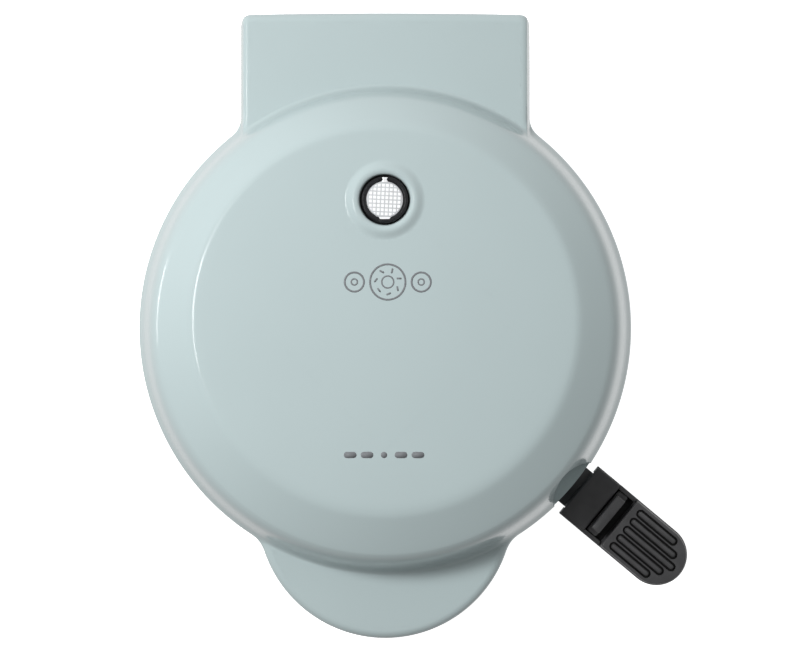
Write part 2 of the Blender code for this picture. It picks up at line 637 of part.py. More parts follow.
# ---- lid --------------------------------------------------------------------------------------
def make_lid():
    upper_shell = shell("upper_shell", lid_plan, lid_height, LID_RIM, 0.0, 72, 10, lid_pivot,
                        up=True)
    cut(upper_shell, block("hood_notch", (-58.1, 58.1), (122.0, 140.0), (40.0, HINGE_Z)))
    for x, y in FRAME_SCREWS:
        ceiling = HOOD_TOP - 1.5 if y > 0.0 else TONGUE_TOP - 1.5
        screw_post(upper_shell, x, y, 54.0, ceiling, mouth_up=False)
    collar = [(0.0, 94.5), (16.8, 94.5), (16.8, 96.3), (14.8, 97.2), (12.5, BOSS_TOP), (10.7, 97.4),
              (0.0, 97.4)]
    join(upper_shell, turned("lamp_collar", collar, centre=(0.0, LAMP_Y, 0.0), count=24))
    cut(upper_shell, rod("lamp_bore", LAMP_BORE, 88.0, 100.0, centre=(0.0, LAMP_Y, 0.0), count=29))

    upper_frame = prism("upper_frame", inset_outline(lid_plan, 2.9, 52), LID_RIM, 53.4, FRAME,
                        lid_pivot)
    cut(upper_frame, rod("upper_frame_opening", PLATE_R + 1.0, 49.0, 55.0, count=36))
    cut(upper_frame, block("upper_frame_notch", (-80.0, 80.0), (103.5, 140.0), (49.0, 55.0)))
    for side in (-1, 1):
        low, high = sorted((53.5 * side, 56.6 * side))
        ear = [(HINGE_Z - 53.4, 100.0 - HINGE_Y), (HINGE_Z - LID_RIM, 100.0 - HINGE_Y)]
        ear += [(EAR_R * math.cos(a), EAR_R * math.sin(a))
                for a in (math.radians(-18.2 + 234.0 * i / 14) for i in range(15))]
        to_ear = (Matrix.Translation((0.0, HINGE_Y, HINGE_Z)) @ Matrix.Rotation(math.pi / 2, 4, "Y"))
        join(upper_frame, prism(f"frame_ear_{side + 1}", ear, low, high, to_world=to_ear))
        low, high = sorted((52.0 * side, 58.0 * side))
        cut(upper_frame, rod(f"ear_bore_{side + 1}", HINGE_PIN_R + 0.35, low, high,
                             centre=(0.0, HINGE_Y, HINGE_Z), axis="X", count=20))
    for k, (x, y) in enumerate(FRAME_SCREWS):
        cut(upper_frame, rod(f"upper_seat_{k}", SCREW_HEAD_R + GAP, 49.0, 52.1,
                             centre=(x, y, 0.0), count=10))
        cut(upper_frame, rod(f"upper_through_{k}", SCREW_HOLE, 49.0, 55.0, centre=(x, y, 0.0),
                             count=12))
        shank = 9.0 if y > 0.0 else 7.0
        screw(f"lid_frame_screw_{k + 1}", x, y, 52.05, shank, True, lid_pivot)

    cooking_plate("upper_plate", 50.3, 1.0, lid_pivot)
    heating_element("upper_heating_element", 65.4, 1.0, lid_pivot)
    reflector("upper_reflector", 75.0, 64.0, lid_pivot)
    plate_clips("upper_plate", 54.2, 55.4, lid_pivot)
    make_lid_leads()
    make_indicator()


def make_lid_leads():
    """Sleeved leads that run from the element's ends and the lamps to the hinge."""
    for name, side in (("lid_live_lead", -1), ("lid_neutral_lead", 1)):
        route = [(8.0, 44.5, 79.4), (9.0, 50.0, 80.0), (13.0, 66.0, 80.0), (15.0, 82.0, 79.0),
                 (17.0, 91.0, 71.0), (19.0, 97.0, 62.0), (20.0, 99.0, 56.0)]
        wire(name, smooth_path([(x * side, y, z) for x, y, z in route]), LEAD_R, WIRE,
             lid_pivot)
    route = ((0.0, LAMP_Y, 80.6), (0.0, 60.0, 79.5), (0.0, 81.0, 79.5), (0.0, 91.0, 72.0),
             (0.0, 97.0, 62.0), (0.0, 99.0, 56.0))
    wire("lamp_lead", smooth_path(route), LEAD_R, WIRE, lid_pivot)


def make_indicator():
    """The lamp window: a black bezel, a clear lens, and two neon lamps in a holder below."""
    middle = (0.0, LAMP_Y, 0.0)
    bezel = [(7.6, 92.2), (11.6, 92.2), (11.6, 93.2 - GAP), (9.5, 93.2 - GAP), (9.5, 96.7),
             (9.1, 97.1), (7.6, 97.1)]
    turned("indicator_bezel", bezel, BLACK, lid_pivot, middle, count=24)
    rod("indicator_lens", 7.3, 92.6, 96.4, CLEAR, lid_pivot, middle, "Z", 28)
    cup = [(0.0, 82.0), (9.2, 82.0), (9.2, 91.8), (7.4, 91.8), (7.4, 84.4), (0.0, 84.4)]
    turned("lamp_holder", cup, BLACK, lid_pivot, middle, count=24)
    for name, side in (("power_lamp", -1), ("ready_lamp", 1)):
        bulb = [(0.0, 84.7), (2.2, 84.7), (2.2, 89.0), (1.2, 91.0), (0.0, 91.4)]
        turned(name, bulb, NEON, lid_pivot, (3.3 * side, LAMP_Y, 0.0), count=12)


make_base()
make_lid()
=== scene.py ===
"""Looks of the ring-cake maker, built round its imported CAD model. Metres, in the CAD's frame.

Shapes are worked out in millimetres about the plates' axis and scaled by MM when a mesh is made.
"""
import json
import math

import bmesh
import bpy
import numpy as np
from mathutils import Matrix, Vector


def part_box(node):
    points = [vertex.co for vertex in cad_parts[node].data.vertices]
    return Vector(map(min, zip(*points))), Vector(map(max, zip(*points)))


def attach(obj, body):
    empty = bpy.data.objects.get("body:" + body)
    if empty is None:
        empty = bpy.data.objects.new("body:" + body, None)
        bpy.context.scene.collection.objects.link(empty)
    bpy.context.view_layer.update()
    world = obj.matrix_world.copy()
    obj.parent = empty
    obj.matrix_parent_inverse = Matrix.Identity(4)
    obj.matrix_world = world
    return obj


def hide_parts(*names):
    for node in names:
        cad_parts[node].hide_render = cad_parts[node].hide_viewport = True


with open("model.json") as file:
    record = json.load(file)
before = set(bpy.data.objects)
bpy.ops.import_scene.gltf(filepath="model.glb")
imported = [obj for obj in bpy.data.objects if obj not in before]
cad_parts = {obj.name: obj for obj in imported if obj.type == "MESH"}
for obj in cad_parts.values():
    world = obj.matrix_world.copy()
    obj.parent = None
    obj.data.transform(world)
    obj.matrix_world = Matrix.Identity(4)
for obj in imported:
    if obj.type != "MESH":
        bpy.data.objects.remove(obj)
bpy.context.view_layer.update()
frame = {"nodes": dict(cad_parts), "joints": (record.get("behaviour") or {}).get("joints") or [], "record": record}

MM = 0.001


# ---- places read from the frame ---------------------------------------------------------------
def box_mm(node):
    """A node's lowest and highest corner, in millimetres."""
    low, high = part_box(node)
    return Vector(low) / MM, Vector(high) / MM


def joint(name):
    return next(j for j in frame["joints"] if j["name"] == name)


plate_low, plate_high = box_mm("upper_plate")
AXIS = Vector(((plate_low.x + plate_high.x) / 2, (plate_low.y + plate_high.y) / 2, 0.0))
lid_low, lid_high = (corner - AXIS for corner in box_mm("upper_shell"))
base_low, base_high = (corner - AXIS for corner in box_mm("lower_shell"))
lens_low, lens_high = (corner - AXIS for corner in box_mm("indicator_lens"))
hinge = Vector(joint("lid_hinge")["pos_m"]) / MM - AXIS
pivot = Vector(joint("latch_hinge")["pos_m"]) / MM - AXIS

LID_RIM = lid_low.z
LID_TOP = 96.6
COLLAR_TOP = lid_high.z
BODY_R = -lid_low.x
HOOD_REAR = lid_high.y
HOOD_HALF = 60.5
HOOD_CORNER = 4.5
TONGUE_Y = -76.3
TONGUE_R = TONGUE_Y - lid_low.y
TONGUE_TOP = 66.0
HOOD_TOP = 72.0
WALL = 2.4
BASE_RIM = base_high.z
BASE_R = -base_low.x
BASE_TONGUE_R = TONGUE_R - 1.0
BASE_TONGUE_BOTTOM = 38.0
BASE_HALF = 57.5
BASE_REAR = base_high.y
BASE_BOTTOM = base_low.z
BASE_HOOD_BOTTOM = 12.0
LAMP_Y = (lens_low.y + lens_high.y) / 2
LAMP = Vector((0.0, LAMP_Y, 0.0))
PLATE_R = (plate_high.x - plate_low.x) / 2
LATCH_ANGLE = math.atan2(pivot.y, pivot.x)
LATCH_PIVOT = math.hypot(pivot.x, pivot.y)
LATCH_HALF = 13.0
LATCH_TIP = 163.2
LATCH_BACK = 106.9
POCKET_CENTRE = 111.5
POCKET_R = 16.0
LEDGE_Z = 56.6
FLAT_SET_BACK = 3.3


# ---- mesh helpers -----------------------------------------------------------------------------
def add_object(name, mesh, finish, place=None):
    thing = bpy.data.objects.new(name, mesh)
    bpy.context.scene.collection.objects.link(thing)
    if finish is not None:
        mesh.materials.append(finish)
    thing.matrix_world = Matrix.Translation(AXIS * MM) @ (place or Matrix.Identity(4))
    return thing


def mesh_from(name, verts, faces, sharp=35.0):
    """A smooth-shaded mesh from points in millimetres; edges sharper than the angle stay sharp."""
    mesh = bpy.data.meshes.new(name)
    mesh.from_pydata([(v[0] * MM, v[1] * MM, v[2] * MM) for v in verts], [], faces)
    mesh.validate()
    mesh.shade_smooth()
    mesh.set_sharp_from_angle(angle=math.radians(sharp))
    return mesh


def apply_modifiers(thing):
    """Replaces an object's mesh by what its modifiers make of it."""
    graph = bpy.context.evaluated_depsgraph_get()
    graph.update()
    mesh = bpy.data.meshes.new_from_object(thing.evaluated_get(graph))
    thing.modifiers.clear()
    thing.data = mesh
    return thing


def cut(thing, *tools):
    """Takes the tools out of an object, and removes them."""
    for tool in tools:
        step = thing.modifiers.new("cut", "BOOLEAN")
        step.operation = "DIFFERENCE"
        step.object = tool
        step.solver = "EXACT"
    apply_modifiers(thing)
    for tool in tools:
        bpy.data.objects.remove(tool)
    return thing


def soften(thing, width, segments=3, angle=35.0):
    """Rounds an object's sharp edges by a width in millimetres."""
    edge = thing.modifiers.new("edge", "BEVEL")
    edge.width = width * MM
    edge.segments = segments
    edge.limit_method = "ANGLE"
    edge.angle_limit = math.radians(angle)
    edge.harden_normals = True
    edge.use_clamp_overlap = True
    apply_modifiers(thing)
    thing.data.shade_smooth()
    thing.data.set_sharp_from_angle(angle=math.radians(50.0))
    return thing


def loft(name, rings, finish=None, place=None, sharp=35.0, closed=True):
    """Skins rings of points, all of the same count, and closes both ends."""
    n = len(rings[0])
    verts = [p for ring in rings for p in ring]
    faces = []
    for k in range(len(rings) - 1):
        a, b = k * n, (k + 1) * n
        faces += [(a + i, a + (i + 1) % n, b + (i + 1) % n, b + i) for i in range(n)]
    if closed:
        faces.append(tuple(reversed(range(n))))
        faces.append(tuple(range((len(rings) - 1) * n, len(rings) * n)))
    return add_object(name, mesh_from(name, verts, faces, sharp), finish, place)


def turned(name, profile, finish=None, place=None, count=96, sharp=35.0):
    """A solid of revolution from (radius, height) points, anticlockwise when closed."""
    solid = profile[0][0] == 0.0
    inner = profile[1:-1] if solid else profile
    n = len(inner)
    verts, faces = [], []
    for i in range(count):
        angle = 2 * math.pi * i / count
        verts += [(r * math.cos(angle), r * math.sin(angle), h) for r, h in inner]
    for i in range(count):
        a, b = i * n, ((i + 1) % count) * n
        spans = n - 1 if solid else n
        faces += [(a + k, b + k, b + (k + 1) % n, a + (k + 1) % n) for k in range(spans)]
    if solid:
        faces.append(tuple(i * n for i in reversed(range(count))))
        faces.append(tuple(i * n + n - 1 for i in range(count)))
    return add_object(name, mesh_from(name, verts, faces, sharp), finish, place)


def rod(name, radius, low, high, place=None, count=48, finish=None):
    profile = [(0.0, low), (radius, low), (radius, high), (0.0, high)]
    return turned(name, profile, finish, place, count)


def block(name, x, y, z, place=None, finish=None):
    corners = [(x[0], y[0]), (x[1], y[0]), (x[1], y[1]), (x[0], y[1])]
    return loft(name, [[(*c, h) for c in corners] for h in z], finish, place)


def arc(cx, cy, radius, start, end, count):
    """Points of an arc, angles in degrees, both ends included."""
    angles = [math.radians(start + (end - start) * i / count) for i in range(count + 1)]
    return [(cx + radius * math.cos(a), cy + radius * math.sin(a)) for a in angles]


def at(x, y, z):
    return Matrix.Translation(Vector((x, y, z)) * MM)


ALONG_X = Matrix.Rotation(math.pi / 2, 4, "Y")
ALONG_Y = Matrix.Rotation(-math.pi / 2, 4, "X")


# ---- materials --------------------------------------------------------------------------------
class Finish:
    """A Principled material whose colour, roughness and bump come from noise at a real scale."""

    def __init__(self, name, colour, roughness, metallic=0.0, coat=0.0, specular=0.5):
        self.material = bpy.data.materials.new(name)
        self.material.use_nodes = True
        self.nodes = self.material.node_tree.nodes
        self.links = self.material.node_tree.links
        self.shader = self.nodes["Principled BSDF"]
        self.colour = colour
        self.shader.inputs["Base Color"].default_value = (*colour, 1.0)
        self.shader.inputs["Roughness"].default_value = roughness
        self.shader.inputs["Metallic"].default_value = metallic
        self.shader.inputs["Coat Weight"].default_value = coat
        self.shader.inputs["Coat Roughness"].default_value = 0.04
        self.shader.inputs["Specular IOR Level"].default_value = specular
        self.place = self.nodes.new("ShaderNodeTexCoord").outputs["Object"]

    def noise(self, size_mm, detail=2.0, stretch=None):
        """Noise with features of about this size; stretch lengthens them along an axis."""
        node = self.nodes.new("ShaderNodeTexNoise")
        node.inputs["Scale"].default_value = 1000.0 / size_mm
        node.inputs["Detail"].default_value = detail
        place = self.place
        if stretch:
            mapping = self.nodes.new("ShaderNodeMapping")
            mapping.inputs["Scale"].default_value = stretch
            self.links.new(place, mapping.inputs["Vector"])
            place = mapping.outputs["Vector"]
        self.links.new(place, node.inputs["Vector"])
        return node.outputs["Fac"]

    def ramp(self, value, low, high):
        """Maps noise from its usual spread to a range."""
        node = self.nodes.new("ShaderNodeMapRange")
        node.inputs["From Min"].default_value = 0.3
        node.inputs["From Max"].default_value = 0.7
        node.inputs["To Min"].default_value = low
        node.inputs["To Max"].default_value = high
        self.links.new(value, node.inputs["Value"])
        return node.outputs["Result"]

    def shade(self, value, amount, other=None):
        """Varies the colour between itself and a darker or other colour."""
        node = self.nodes.new("ShaderNodeMix")
        node.data_type = "RGBA"
        other = other or tuple(c * (1.0 - amount) for c in self.colour)
        node.inputs["A"].default_value = (*self.colour, 1.0)
        node.inputs["B"].default_value = (*other, 1.0)
        self.links.new(self.ramp(value, 0.0, 1.0), node.inputs["Factor"])
        self.links.new(node.outputs["Result"], self.shader.inputs["Base Color"])
        return self

    def rough(self, value, low, high):
        self.links.new(self.ramp(value, low, high), self.shader.inputs["Roughness"])
        return self

    def bump(self, value, height_mm, strength=1.0):
        node = self.nodes.new("ShaderNodeBump")
        node.inputs["Distance"].default_value = height_mm * MM
        node.inputs["Strength"].default_value = strength
        self.links.new(value, node.inputs["Height"])
        self.links.new(node.outputs["Normal"], self.shader.inputs["Normal"])
        return self


def finish(name, colour, roughness, shade, rough, bump=None, other=None, stretch=None, **look):
    """A procedural material, with its name. Each of shade, rough and bump starts with its noise's
    size in millimetres and its detail; then come the depth of shade, the lowest and highest
    roughness, and the bump's height in millimetres and its strength.
    """
    made = Finish(name, colour, roughness, **look)
    size, detail, depth = shade
    made.shade(made.noise(size, detail, stretch), depth, other)
    size, detail, low, high = rough
    made.rough(made.noise(size, detail, stretch), low, high)
    if bump:
        size, detail, height, strength = bump
        made.bump(made.noise(size, detail, stretch), height, strength)
    return name, made.material


def make_finishes():
    made = (
        finish("gloss_shell", (0.391, 0.466, 0.472), 0.24, (60.0, 2.0, 0.025), (3.0, 4.0, 0.17, 0.23),
               (1.6, 2.0, 0.0016, 0.5), coat=0.42, specular=0.42),
        finish("satin_frame", (0.40, 0.485, 0.485), 0.42, (30.0, 2.0, 0.04), (1.0, 3.0, 0.38, 0.48),
               (0.35, 2.0, 0.006, 0.6)),
        finish("latch_plastic", (0.062, 0.062, 0.064), 0.4, (6.0, 4.0, 0.2), (0.8, 3.0, 0.33, 0.46),
               (0.28, 2.0, 0.008, 0.7), specular=0.4),
        finish("black_plastic", (0.014, 0.0145, 0.016), 0.3, (4.0, 4.0, 0.2), (0.8, 3.0, 0.24, 0.38),
               (0.3, 2.0, 0.006, 0.6), specular=0.4),
        finish("nonstick_coating", (0.052, 0.052, 0.055), 0.34, (0.5, 5.0, 0.0), (4.0, 4.0, 0.3, 0.42),
               (0.5, 3.0, 0.01, 0.5), other=(0.11, 0.11, 0.115), metallic=0.35),
        finish("steel", (0.62, 0.62, 0.63), 0.3, (2.0, 5.0, 0.2), (0.4, 4.0, 0.22, 0.4),
               (0.3, 2.0, 0.003, 0.6), metallic=1.0),
        finish("aluminised_steel", (0.7, 0.71, 0.72), 0.36, (0.5, 5.0, 0.12), (0.5, 5.0, 0.28, 0.45),
               (0.5, 5.0, 0.004, 0.6), stretch=(0.05, 1.0, 1.0), metallic=1.0),
        finish("rubber_foot", (0.035, 0.035, 0.035), 0.75, (3.0, 5.0, 0.25), (0.6, 4.0, 0.68, 0.85),
               (0.4, 3.0, 0.02, 0.7), specular=0.35),
        finish("ceramic", (0.78, 0.75, 0.69), 0.55, (1.5, 5.0, 0.12), (0.6, 4.0, 0.45, 0.65),
               (0.4, 3.0, 0.01, 0.6)),
        finish("clear_lens", (0.86, 0.87, 0.88), 0.08, (5.0, 2.0, 0.05), (1.0, 3.0, 0.06, 0.14),
               (1.5, 2.0, 0.004, 0.5), coat=0.6),
        # Near black: painted shade for the floor of the lever's deep groove and its rib channels
        finish("groove_painted_shade", (0.006, 0.006, 0.006), 0.55, (1.0, 3.0, 0.2), (0.6, 3.0, 0.5, 0.65),
               specular=0.2),
        finish("lens_floor", (0.5, 0.515, 0.53), 0.3, (2.0, 3.0, 0.15), (1.0, 3.0, 0.25, 0.4)),
        finish("lamp_glass", (0.8, 0.28, 0.1), 0.12, (1.0, 3.0, 0.2), (0.6, 3.0, 0.08, 0.2), coat=0.4),
        finish("wire_sleeve", (0.72, 0.71, 0.66), 0.7, (0.35, 3.0, 0.3), (0.35, 3.0, 0.6, 0.85),
               (0.35, 3.0, 0.05, 0.8), stretch=(1.0, 0.4, 1.0)),
        finish("grey_print", (0.175, 0.185, 0.195), 0.35, (0.8, 4.0, 0.12), (0.8, 3.0, 0.3, 0.42),
               (0.5, 2.0, 0.002, 0.5)),
    )
    return dict(made)


FINISH = make_finishes()


# ---- the shells' surfaces, in millimetres about the plates' axis ------------------------------
def blend_max(a, b, reach):
    h = np.maximum(reach - np.abs(a - b), 0.0) / reach
    return np.maximum(a, b) + h * h * reach / 4.0


def blend_min(a, b, reach):
    return -blend_max(-a, -b, reach)


def plan_distance(x, y, body_r, tongue_r, half, rear, bow=0.0):
    """Signed distance to a plan outline: round body, round tongue and square hood."""
    body = np.hypot(x, y) - body_r
    tongue = np.hypot(x, y - TONGUE_Y) - tongue_r
    edge = rear - bow * (x / half) ** 2
    dx = np.abs(x) - half + HOOD_CORNER
    dy = np.abs(y - edge / 2) - edge / 2 + HOOD_CORNER
    outside = np.hypot(np.maximum(dx, 0.0), np.maximum(dy, 0.0))
    hood = outside + np.minimum(np.maximum(dx, dy), 0.0) - HOOD_CORNER
    return blend_min(blend_min(body, tongue, 3.5), hood, 4.0)


def lid_plan(x, y):
    return plan_distance(x, y, BODY_R, TONGUE_R, HOOD_HALF, HOOD_REAR, 0.7)


def base_plan(x, y):
    return plan_distance(x, y, BASE_R, BASE_TONGUE_R, BASE_HALF, BASE_REAR)


def round_over(distance, radius):
    """How far an edge of this radius has dropped at a signed distance from the outline."""
    inside = np.clip(radius + distance, 0.0, radius)
    return radius - np.sqrt(radius * radius - inside * inside)


def turned_height(knots, start_height, reach=160.0, step=0.05, smooth_mm=0.45):
    """Radii and heights of a turned surface whose downward slope, in degrees, has these knots."""
    radii = np.arange(0.0, reach, step)
    slope = np.interp(radii, [k[0] for k in knots], [k[1] for k in knots])
    half = int(3 * smooth_mm / step)
    kernel = np.exp(-0.5 * (np.arange(-half, half + 1) * step / smooth_mm) ** 2)
    slope = np.convolve(np.pad(slope, half, mode="edge"), kernel / kernel.sum(), mode="valid")
    fall = np.concatenate(([0.0], np.cumsum(np.tan(np.radians(slope[:-1])) * step)))
    return radii, start_height - fall


DOME = turned_height(((0.0, 0.0), (60.0, 0.7), (76.8, 1.6), (80.9, 31.0), (92.0, 33.0), (93.6, 42.0),
                      (95.2, 56.0), (97.4, 73.0), (98.4, 74.5), (110.0, 75.0)), LID_TOP)
BOWL = turned_height(((0.0, 0.0), (79.0, 0.0), (84.5, -19.0), (89.5, -42.0), (93.5, -63.0),
                      (96.5, -75.0), (99.0, -79.5), (130.0, -80.0)), BASE_BOTTOM)


def latch_coordinates(x, y):
    """Distance out along the latch's line from the plates' axis, and sideways from it."""
    c, s = math.cos(LATCH_ANGLE), math.sin(LATCH_ANGLE)
    return x * c + y * s, y * c - x * s


def dome_radius(x, y):
    """Radius on the dome's profile: its circles are centred further back the higher they lie."""
    radius = np.hypot(x, y)
    for _ in range(6):
        set_back = FLAT_SET_BACK * np.clip((93.0 - radius) / 14.0, 0.0, 1.0)
        radius = np.hypot(x, y - set_back)
    return radius


def lid_height(x, y):
    """Height of the lid's outer surface, without the lamp's collar."""
    plan = lid_plan(x, y)
    flange = TONGUE_TOP - round_over(plan, 3.5)
    hood_side = np.maximum(np.abs(x) - HOOD_HALF + 1.5, 0.0)
    hood = HOOD_TOP - round_over(plan, 3.8) - 4.0 * hood_side
    rest = np.where(y < 60.0, flange, np.maximum(flange, hood))
    height = blend_max(np.interp(dome_radius(x, y), *DOME), rest, 6.5)
    reach, side = latch_coordinates(x, y)
    depth = np.where(reach > 0.0, POCKET_R - np.hypot(reach - POCKET_CENTRE, side), -9.0)
    wall = np.maximum(LEDGE_Z, 86.0 - 22.0 * depth)
    return np.where(depth > -4.0, blend_min(height, wall, 1.6), height)


def base_depth(x, y):
    """Height of the base's outer underside."""
    bowl = np.interp(np.hypot(x, y), *BOWL)
    plan = base_plan(x, y)
    tongue_side = np.maximum(np.hypot(x, y - TONGUE_Y) - BASE_TONGUE_R + 1.0, 0.0)
    under_tongue = BASE_TONGUE_BOTTOM + round_over(plan, 4.0) + 6.0 * tongue_side
    height = blend_min(bowl, under_tongue, 4.0)
    hood_side = np.maximum(np.abs(x) - BASE_HALF + 1.0, 0.0)
    under_hood = BASE_HOOD_BOTTOM + round_over(plan, 6.0) + 6.0 * hood_side
    return np.where(y > 40.0, blend_min(height, under_hood, 4.0), height)


def spread(points, count, step, turn, crowd=None):
    """Where along a fine polyline to put count points, closer together where it bends."""
    steps = np.diff(points, axis=0)
    lengths = np.linalg.norm(steps, axis=1)
    heading = steps / np.maximum(lengths, 1e-9)[:, None]
    bends = np.zeros(len(lengths))
    dots = np.clip(np.sum(heading[1:] * heading[:-1], axis=1), -1.0, 1.0)
    bends[1:] = np.arccos(dots) * (lengths[1:] > 1e-7) * (lengths[:-1] > 1e-7)
    weight = lengths / step * (1.0 if crowd is None else crowd[1:]) + bends / turn
    kernel = np.ones(9) / 9
    weight = np.convolve(np.pad(weight, 4, mode="edge"), kernel, mode="valid") + lengths * 1e-3
    total = np.concatenate(([0.0], np.cumsum(weight)))
    return np.interp(np.linspace(0.0, total[-1], count), total, np.arange(len(points)))


def pick(points, places):
    index = np.arange(len(points))
    return np.stack([np.interp(places, index, points[:, k]) for k in range(points.shape[1])], 1)


def plan_outline(distance, fine=7200):
    """Fine points of an outline about the middle; the first is repeated at the end."""
    angles = 2 * np.pi * (np.arange(fine + 1) % fine) / fine - np.pi / 2
    low, high = np.full(fine + 1, 50.0), np.full(fine + 1, 165.0)
    for _ in range(40):
        middle = (low + high) / 2
        inside = distance(middle * np.cos(angles), middle * np.sin(angles)) < 0.0
        low, high = np.where(inside, middle, low), np.where(inside, high, middle)
    return np.stack([low * np.cos(angles), low * np.sin(angles)], 1)


def shell_mesh(name, distance, height, rim, start, split, stations, rings, sign):
    """A shell of one closed skin: over the top, down to the rim, round it and back inside.

    rim gives the rim's height at (x, y); start is the radius of a hole in the middle, or 0;
    within the split radius all stations share the same rings, and beyond it each has its own;
    sign is +1 for a shell that opens downwards and -1 for one that opens upwards.
    """
    outline = plan_outline(distance)
    reach, side = latch_coordinates(outline[:, 0], outline[:, 1])
    crowd = 1.0 + 5.0 * ((reach > 0.0) & (np.abs(side) < 17.0)) * (sign > 0)
    edges = pick(outline, spread(outline, stations + 1, 3.0, math.radians(6.0), crowd))[:-1]
    far = np.hypot(edges[:, 0], edges[:, 1])
    heading = edges / far[:, None]

    fine = np.linspace(start, split, 1200)
    section = np.stack([fine, height(-fine, 0.0 * fine)], 1)
    core = pick(section, spread(section, rings // 2, 2.0, math.radians(4.0)))[:-1, 0]
    shares = []
    for (cx, cy), reach_mm in zip(heading, far):
        share = 1.0 - (1.0 - np.linspace(0.0, 1.0, 1200)) ** 2
        fine = split + (reach_mm - split) * share
        section = np.stack([fine, height(cx * fine, cy * fine)], 1)
        places = spread(section, rings, 1.5, math.radians(4.0))
        shares.append((pick(section, places)[:, 0] - split) / (reach_mm - split))
    shares = np.array(shares)
    for _ in range(8):
        shares = (np.roll(shares, 1, 0) + 2.0 * shares + np.roll(shares, -1, 0)) / 4.0
    skin = []
    lip = np.radians(np.linspace(0.0, 90.0, 5))
    for (cx, cy), reach_mm, share in zip(heading, far, shares):
        radii = np.concatenate([core, split + (reach_mm - split) * share])
        top = np.stack([radii, height(cx * radii, cy * radii)], 1)
        low = rim(cx * reach_mm, cy * reach_mm)
        wall = np.linspace(top[-1, 1], low + 0.6 * sign, 9)[1:]
        outer = np.concatenate([top, np.stack([np.full(8, reach_mm), wall], 1)])
        tangent = np.gradient(outer, axis=0)
        tangent /= np.maximum(np.linalg.norm(tangent, axis=1), 1e-9)[:, None]
        inner = outer + np.stack([tangent[:, 1], -tangent[:, 0]], 1) * sign * WALL
        inner[:, 0] = np.clip(inner[:, 0], start, reach_mm - WALL)
        corner = np.stack([reach_mm - 0.6 + 0.6 * np.cos(lip),
                           low + 0.6 * sign * (1 - np.sin(lip))], 1)
        foot = np.array([[reach_mm - WALL, low]])
        line = np.concatenate([outer, corner[1:], foot, inner[::3][::-1]])
        if start == 0.0:
            line = line[1:-1]
        skin.append(np.stack([line[:, 0] * cx, line[:, 0] * cy, line[:, 1]], 1))
    n = len(skin[0])
    verts = np.concatenate(skin)
    faces = []
    for i in range(stations):
        a, b = i * n, ((i + 1) % stations) * n
        faces += [(a + k, a + k + 1, b + k + 1, b + k) for k in range(n - 1)]
        if start:
            faces.append((a + n - 1, a, b, b + n - 1))
    if start == 0.0:
        top = float(height(np.zeros(1), np.zeros(1))[0])
        verts = np.concatenate([verts, [[0.0, 0.0, top], [0.0, 0.0, top - WALL * sign]]])
        outer_tip, inner_tip = len(verts) - 2, len(verts) - 1
        for i in range(stations):
            a, b = i * n, ((i + 1) % stations) * n
            faces += [(outer_tip, a, b), (inner_tip, b + n - 1, a + n - 1)]
    if sign < 0:
        faces = [tuple(reversed(f)) for f in faces]
    return mesh_from(name, verts.tolist(), faces, sharp=60.0)


def remove_round(mesh, centre, radius):
    """Takes the faces of a mesh away within a radius, in millimetres, of a vertical line."""
    work = bmesh.new()
    work.from_mesh(mesh)
    near = [v for v in work.verts
            if math.hypot(v.co.x / MM - centre.x, v.co.y / MM - centre.y) < radius]
    bmesh.ops.delete(work, geom=near, context="VERTS")
    work.to_mesh(mesh)
    work.free()


# ---- lid --------------------------------------------------------------------------------------
def lid_rim(x, y):
    """The hood's rear edge is higher, between its cheeks, so that it clears the hinge."""
    return hinge.z if abs(x) < 60.1 and y > 120.0 else LID_RIM


def make_lid_shell():
    mesh = shell_mesh("lid_shell", lid_plan, lid_height, lid_rim, 0.0, 90.0, 620, 84, +1)
    remove_round(mesh, LAMP, 17.6)
    shell = add_object("lid_shell", mesh, FINISH["gloss_shell"])
    shell.data.name = "lid_shell"
    collar = make_collar()
    with bpy.context.temp_override(active_object=shell, selected_editable_objects=[shell, collar]):
        bpy.ops.object.join()
    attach(shell, "lid")
    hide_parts("upper_shell")
    return shell


def make_collar():
    """The raised ring round the lamp window; its foot runs out into the lid's surface."""
    crest_ring = np.radians(np.arange(0.0, 360.0, 5.0))
    under_crest = lid_height(12.3 * np.cos(crest_ring), LAMP_Y + 12.3 * np.sin(crest_ring))
    crest = COLLAR_TOP - 0.02 - float(under_crest.max())
    profile = [(24.0, -2.4), (24.0, 0.004), (20.0, 0.004)]
    profile += [(r, 0.004 + crest * math.cos(math.pi / 2 * min(max((r - 12.3) / 4.3, 0.0), 1.0)) ** 2)
                for r in np.linspace(16.9, 12.3, 26)]
    profile += [(12.3 - 1.9 * math.sin(a), crest - 1.5 * (1 - math.cos(a)))
                for a in np.radians(np.linspace(8.0, 86.0, 12))]
    profile += [(10.2, h) for h in (-0.6, -1.6, -3.4)] + [(11.4, -3.4), (19.0, -2.6)]
    count = 180
    verts, faces = [], []
    n = len(profile)
    for i in range(count):
        angle = 2 * math.pi * i / count
        for r, rise in profile:
            x, y = r * math.cos(angle), LAMP_Y + r * math.sin(angle)
            verts.append((x, y, float(lid_height(np.array(x), np.array(y))) + rise))
    for i in range(count):
        a, b = i * n, ((i + 1) % count) * n
        faces += [(a + k, a + (k + 1) % n, b + (k + 1) % n, b + k) for k in range(n)]
    return add_object("lamp_collar", mesh_from("lamp_collar", verts, faces, 60.0), FINISH["gloss_shell"])


GRID_PITCH = 1.66
GRID_LINE = 0.36


